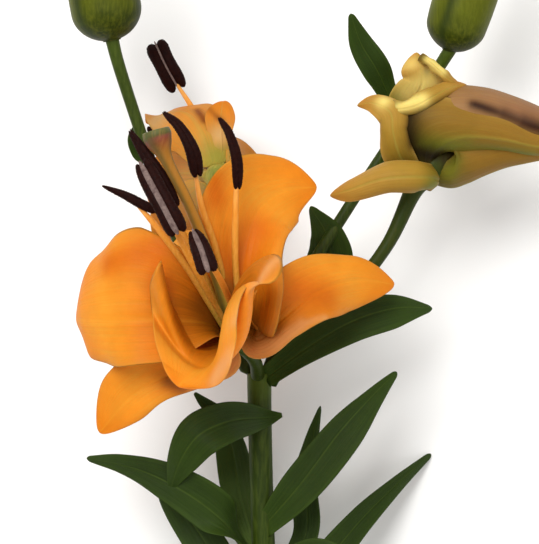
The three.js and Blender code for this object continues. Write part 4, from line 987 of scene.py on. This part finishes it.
# An anther: two pollen-covered lobes beside each other, joined by a pale seam where one is given
def makeAnther(name, node, stamen, seed):
    points, faces, marks, dust = [], [], [], []
    halfWidth = stamen.get("halfWidth", 3.1)
    rings, sides = antherShape["rings"], antherShape["sides"]
    t = np.linspace(0, 1, rings + 1)
    t = t - antherShape["gather"] * np.sin(2 * np.pi * t) / (2 * np.pi)
    centres = rowsAt(stamen["anther"], t)
    ahead = headings(stamen["anther"], t)
    face = np.array(stamen["face"], float)
    face = unit(face - (ahead @ face)[:, None] * ahead)
    side = np.cross(face, ahead)
    around = np.linspace(0, 2 * np.pi, sides, endpoint=False)
    apart, size = stamen.get("lobes", (0.48, 0.52))
    lobes = [(-apart, size, 0, 0.0), (apart, size, 0, 0.0)]
    if "seam" in stamen:
        lobes.append((0.0, stamen["seam"], 1, antherShape["seamLift"]))
    for place, size, mark, lift in lobes:
        ends = np.sqrt(np.maximum(1 - np.abs(2 * t - 1) ** 5, 0.0005))
        ends = ends * (1 - stamen.get("taper", 0.15) * (1 - t) ** 2.5)
        radius = halfWidth * size * ends * (1 + 0.06 * np.sin(9 * t + seed + place))
        spread = halfWidth * place * (0.9 + 0.2 * t**4) * (1 - stamen.get("taper", 0) * (1 - t) ** 2.5)
        middle = centres + side * spread[:, None] + face * (lift * halfWidth)
        ring = side[:, None] * np.cos(around)[:, None] + 0.9 * face[:, None] * np.sin(around)[:, None]
        first = len(points)
        points.extend((middle[:, None] + radius[:, None, None] * ring).reshape(-1, 3))
        base = np.arange(rings)[:, None] * sides
        here, following = base + np.arange(sides), base + (np.arange(sides) + 1) % sides
        quads = np.stack([here, following, following + sides, here + sides], -1).reshape(-1, 4) + first
        faces.extend(quads[:, ::-1].tolist())
        faces.append((np.arange(sides) + first).tolist())
        faces.append((np.arange(sides)[::-1] + first + rings * sides).tolist())
        marks.extend([mark] * (len(quads) + 2))
        dust.extend([0.0 if mark else 1.0] * ((rings + 1) * sides))
    piece = newObject(name, points, faces)
    piece.data.materials.append(thecaFinish)
    piece.data.materials.append(seamFinish)
    piece.data.polygons.foreach_set("material_index", marks)
    piece.data.polygons.foreach_set("use_smooth", [True] * len(marks))
    addValues(piece, "dust", dust)
    applyTree(piece, grainTree, {"Seed": seed, "Material": pollenFinish})
    finishPiece(piece, node)


filamentRing = 2.7
filamentShape = {"radii": [0.95, 1.2, 1.15, 0.6], "rings": 60, "round": (0.4, 0.8), "tree": {"Sides": 16}}


def makeStamens(stamens, flower):
    for number, (node, stamen) in enumerate(stamens.items(), 1):
        base, _ = ringStart(flower["centre"], flower["axis"], stamen["azimuth"], filamentRing)
        filament = filamentShape | {"path": [base, *stamen["filament"]]}
        makeStalk(pieceName(node + "_filament"), node, filament, filamentFinish)
        makeAnther(pieceName(node + "_anther"), node, stamen, number)


frontStamens = {
    "front_stamen_upper": {
        "azimuth": 80, "halfWidth": 2.8, "taper": 0.65, "lobes": (0.34, 0.66),
        "filament": [(-15, 45, 46), (-20, 60, 50), (-22.6, 74, 51.5)],
        "anther": [(-34, 94.5, 50), (-28, 89, 52.5), (-23.4, 80.5, 54), (-21.4, 71, 52.5)],
        "face": [0.3, 0.2, 0.9]},
    "front_stamen_right": {
        "azimuth": 20, "halfWidth": 2.1, "taper": 0.5, "lobes": (0.3, 0.7),
        "filament": [(-8, 40, 46), (-8, 58, 49), (-7.4, 74, 50)],
        "anther": [(-13.9, 92.5, 49), (-10.2, 86.6, 52), (-7.4, 77, 52), (-7.2, 66.6, 50)],
        "face": [0.3, 0.2, 0.9]},
    "front_stamen_left_high": {
        "azimuth": 140, "halfWidth": 3.2, "taper": 0.6, "lobes": (0.4, 0.6),
        "filament": [(-22, 42, 55), (-32, 60, 64), (-37, 72, 66)],
        "anther": [(-45.6, 87.5, 64), (-40.2, 79.2, 67), (-34.2, 70, 67.5), (-29, 60, 67)],
        "face": [-0.6, -0.2, 0.8]},
    "front_stamen_left_low": {
        "azimuth": 200, "halfWidth": 1.9, "taper": 0.6, "lobes": (0.2, 0.8),
        "filament": [(-25, 38, 54), (-36, 53, 60), (-43, 61, 60)],
        "anther": [(-55.6, 67.8, 59), (-47.4, 64.4, 61), (-40.7, 60.9, 61.5), (-36, 58.8, 61)],
        "face": [0.1, -0.2, 0.9]},
    "front_stamen_near": {
        "azimuth": 320, "halfWidth": 4, "taper": 0.45, "seam": 0.3,
        "filament": [(-10, 27, 64), (-14, 36, 82), (-17.8, 41, 95.2)],
        "anther": [(-22.6, 51.6, 91), (-19.6, 44.8, 95.5), (-16.9, 36.6, 97)], "face": [0, 0.1, 1]},
    "front_stamen_left_near": {
        "azimuth": 260, "halfWidth": 4.3, "seam": 0.3,
        "filament": [(-21, 36, 64), (-28, 50, 76), (-33, 60, 82)],
        "anther": [(-41.2, 76, 78), (-35.8, 66, 82.5), (-31.4, 57.8, 84), (-27.6, 50.4, 83)],
        "face": [-0.3, 0, 1]},
}
makeStamens(frontStamens, frontFlower)
rearStamens = {
    "rear_stamen_upper": {
        "azimuth": -90, "halfWidth": 4.3, "taper": -0.12, "seam": 0.1,
        "filament": [(-20, 84, -24), (-24, 97, -33), (-31, 108.4, -38)],
        "anther": [(-39.2, 124, -40), (-35.2, 115.4, -37), (-30, 106, -39)], "face": [0, 0, 1]},
    "rear_stamen_left": {
        "azimuth": -150, "filament": [(-25, 79, -26), (-32, 84, -38), (-36.6, 86, -45.6)],
        "anther": [(-41, 93, -44), (-37, 86, -47), (-34, 78, -46)], "face": [-0.5, 0, -0.8]},
    "rear_stamen_right": {
        "azimuth": -30, "filament": [(-13, 80, -26), (-13, 85, -38), (-13, 87, -45)],
        "anther": [(-15, 95, -44), (-13, 87, -46), (-11, 79, -45)], "face": [0, 0, -1]},
    "rear_stamen_lower_right": {
        "azimuth": 30, "filament": [(-12, 67, -26), (-10, 63, -38), (-9, 61, -46.6)],
        "anther": [(-2, 66, -46), (-9, 60.5, -48), (-15, 56, -46)], "face": [0, 0, -1]},
    "rear_stamen_lower_left": {
        "azimuth": 150, "filament": [(-22, 68, -26), (-24, 66, -38), (-26, 65, -46)],
        "anther": [(-33, 61, -45), (-26, 65, -47), (-20, 70, -46)], "face": [0, 0, -1]},
}
makeStamens(rearStamens, rearFlower)
print("stamens built")

pistils = {
    "front_pistil": {
        "path": [(-8.8, 15.6, 36.4), (-15, 36, 52), (-24, 60, 66), (-31.4, 75, 70), (-34.8, 83, 70),
            (-36.2, 87.6, 70)],
        "radii": [2.4, 2.3, 2, 2, 2, 2.1, 2.6, 4.4, 5.2, 4.8]},
    "rear_pistil": {
        "path": [(-15.6, 72.5, -7.4), (-18, 75, -26), (-21, 77, -40), (-22, 78, -47)],
        "radii": [2.2, 2, 1.5, 1.5, 1.6, 1.7, 2, 3.4, 3.8, 3.4]},
}
pistilShape = {
    "depths": [0, 0, 0, 0, 0, 0.1, 0.45, 0.6],
    "round": (0.5, 1.6),
    "rings": 90,
    "tree": {"Sides": 60, "Grooves": 3, "Groove sharpness": 1.6},
}
for node, pistil in pistils.items():
    makeStalk(pieceName(node), node, pistil | pistilShape, styleFinish)
print("pistils built")

# Floor, light and camera
studio = {"floorHalf": 12.0, "floorColour": "#F8F7F5", "world": 0.7, "keyPower": 41.0, "fillPower": 6.0}
floorMesh = bpy.data.meshes.new("studioFloor")
half = studio["floorHalf"]
corners = [(-half, -half, 0), (half, -half, 0), (half, half, 0), (-half, half, 0)]
floorMesh.from_pydata(corners, [], [(0, 1, 2, 3)])
floor = addObject("studioFloor", floorMesh)
material, tree, shader = newMaterial("pale floor")
cloud = noise(objectPlace(tree), 3.0)
tree.links.new(blend(cloud, studio["floorColour"], "#EEEDEA"), shader.inputs["Base Color"])
shader.inputs["Roughness"].default_value = 0.8
floorMesh.materials.append(material)

world = bpy.data.worlds.new("studioAir")
world.use_nodes = True
air = world.node_tree.nodes["Background"].inputs
air["Color"].default_value = (1.0, 1.0, 1.0, 1.0)
air["Strength"].default_value = studio["world"]
bpy.context.scene.world = world


def softLight(name, place, target, size, power):
    data = bpy.data.lights.new(name, "AREA")
    data.shape = "DISK"
    data.size = size
    data.energy = power
    light = addObject(name, data)
    light.location = place
    light.rotation_euler = (Vector(target) - Vector(place)).to_track_quat("-Z", "Y").to_euler()


softLight("keyLight", (-0.5, 0.7, 2.0), (0.0, 0.05, 0.0), 1.3, studio["keyPower"])
softLight("fillLight", (1.2, -0.3, 1.6), (0.05, 0.0, 0.0), 1.4, studio["fillPower"])

# The camera looks at the plant as the photograph does; px and mm of the standing plant
view = {"lens": 300.0, "sensor": 36.0, "mmPerPixel": 0.37, "pixels": (539, 544), "node": (258.0, 372.0)}
data = bpy.data.cameras.new("photoCamera")
data.lens = view["lens"]
data.sensor_width = view["sensor"]
camera = addObject("photoCamera", data)
distance = view["pixels"][1] * view["mmPerPixel"] * view["lens"] / view["sensor"]
across = (view["pixels"][0] / 2 - view["node"][0]) * view["mmPerPixel"]
upward = (view["node"][1] - view["pixels"][1] / 2) * view["mmPerPixel"]
camera.matrix_world = Matrix.Translation(toRow @ Vector((across, upward, distance))) @ turned
bpy.context.scene.camera = camera
bpy.context.scene.view_settings.view_transform = "Standard"
print("studio built")
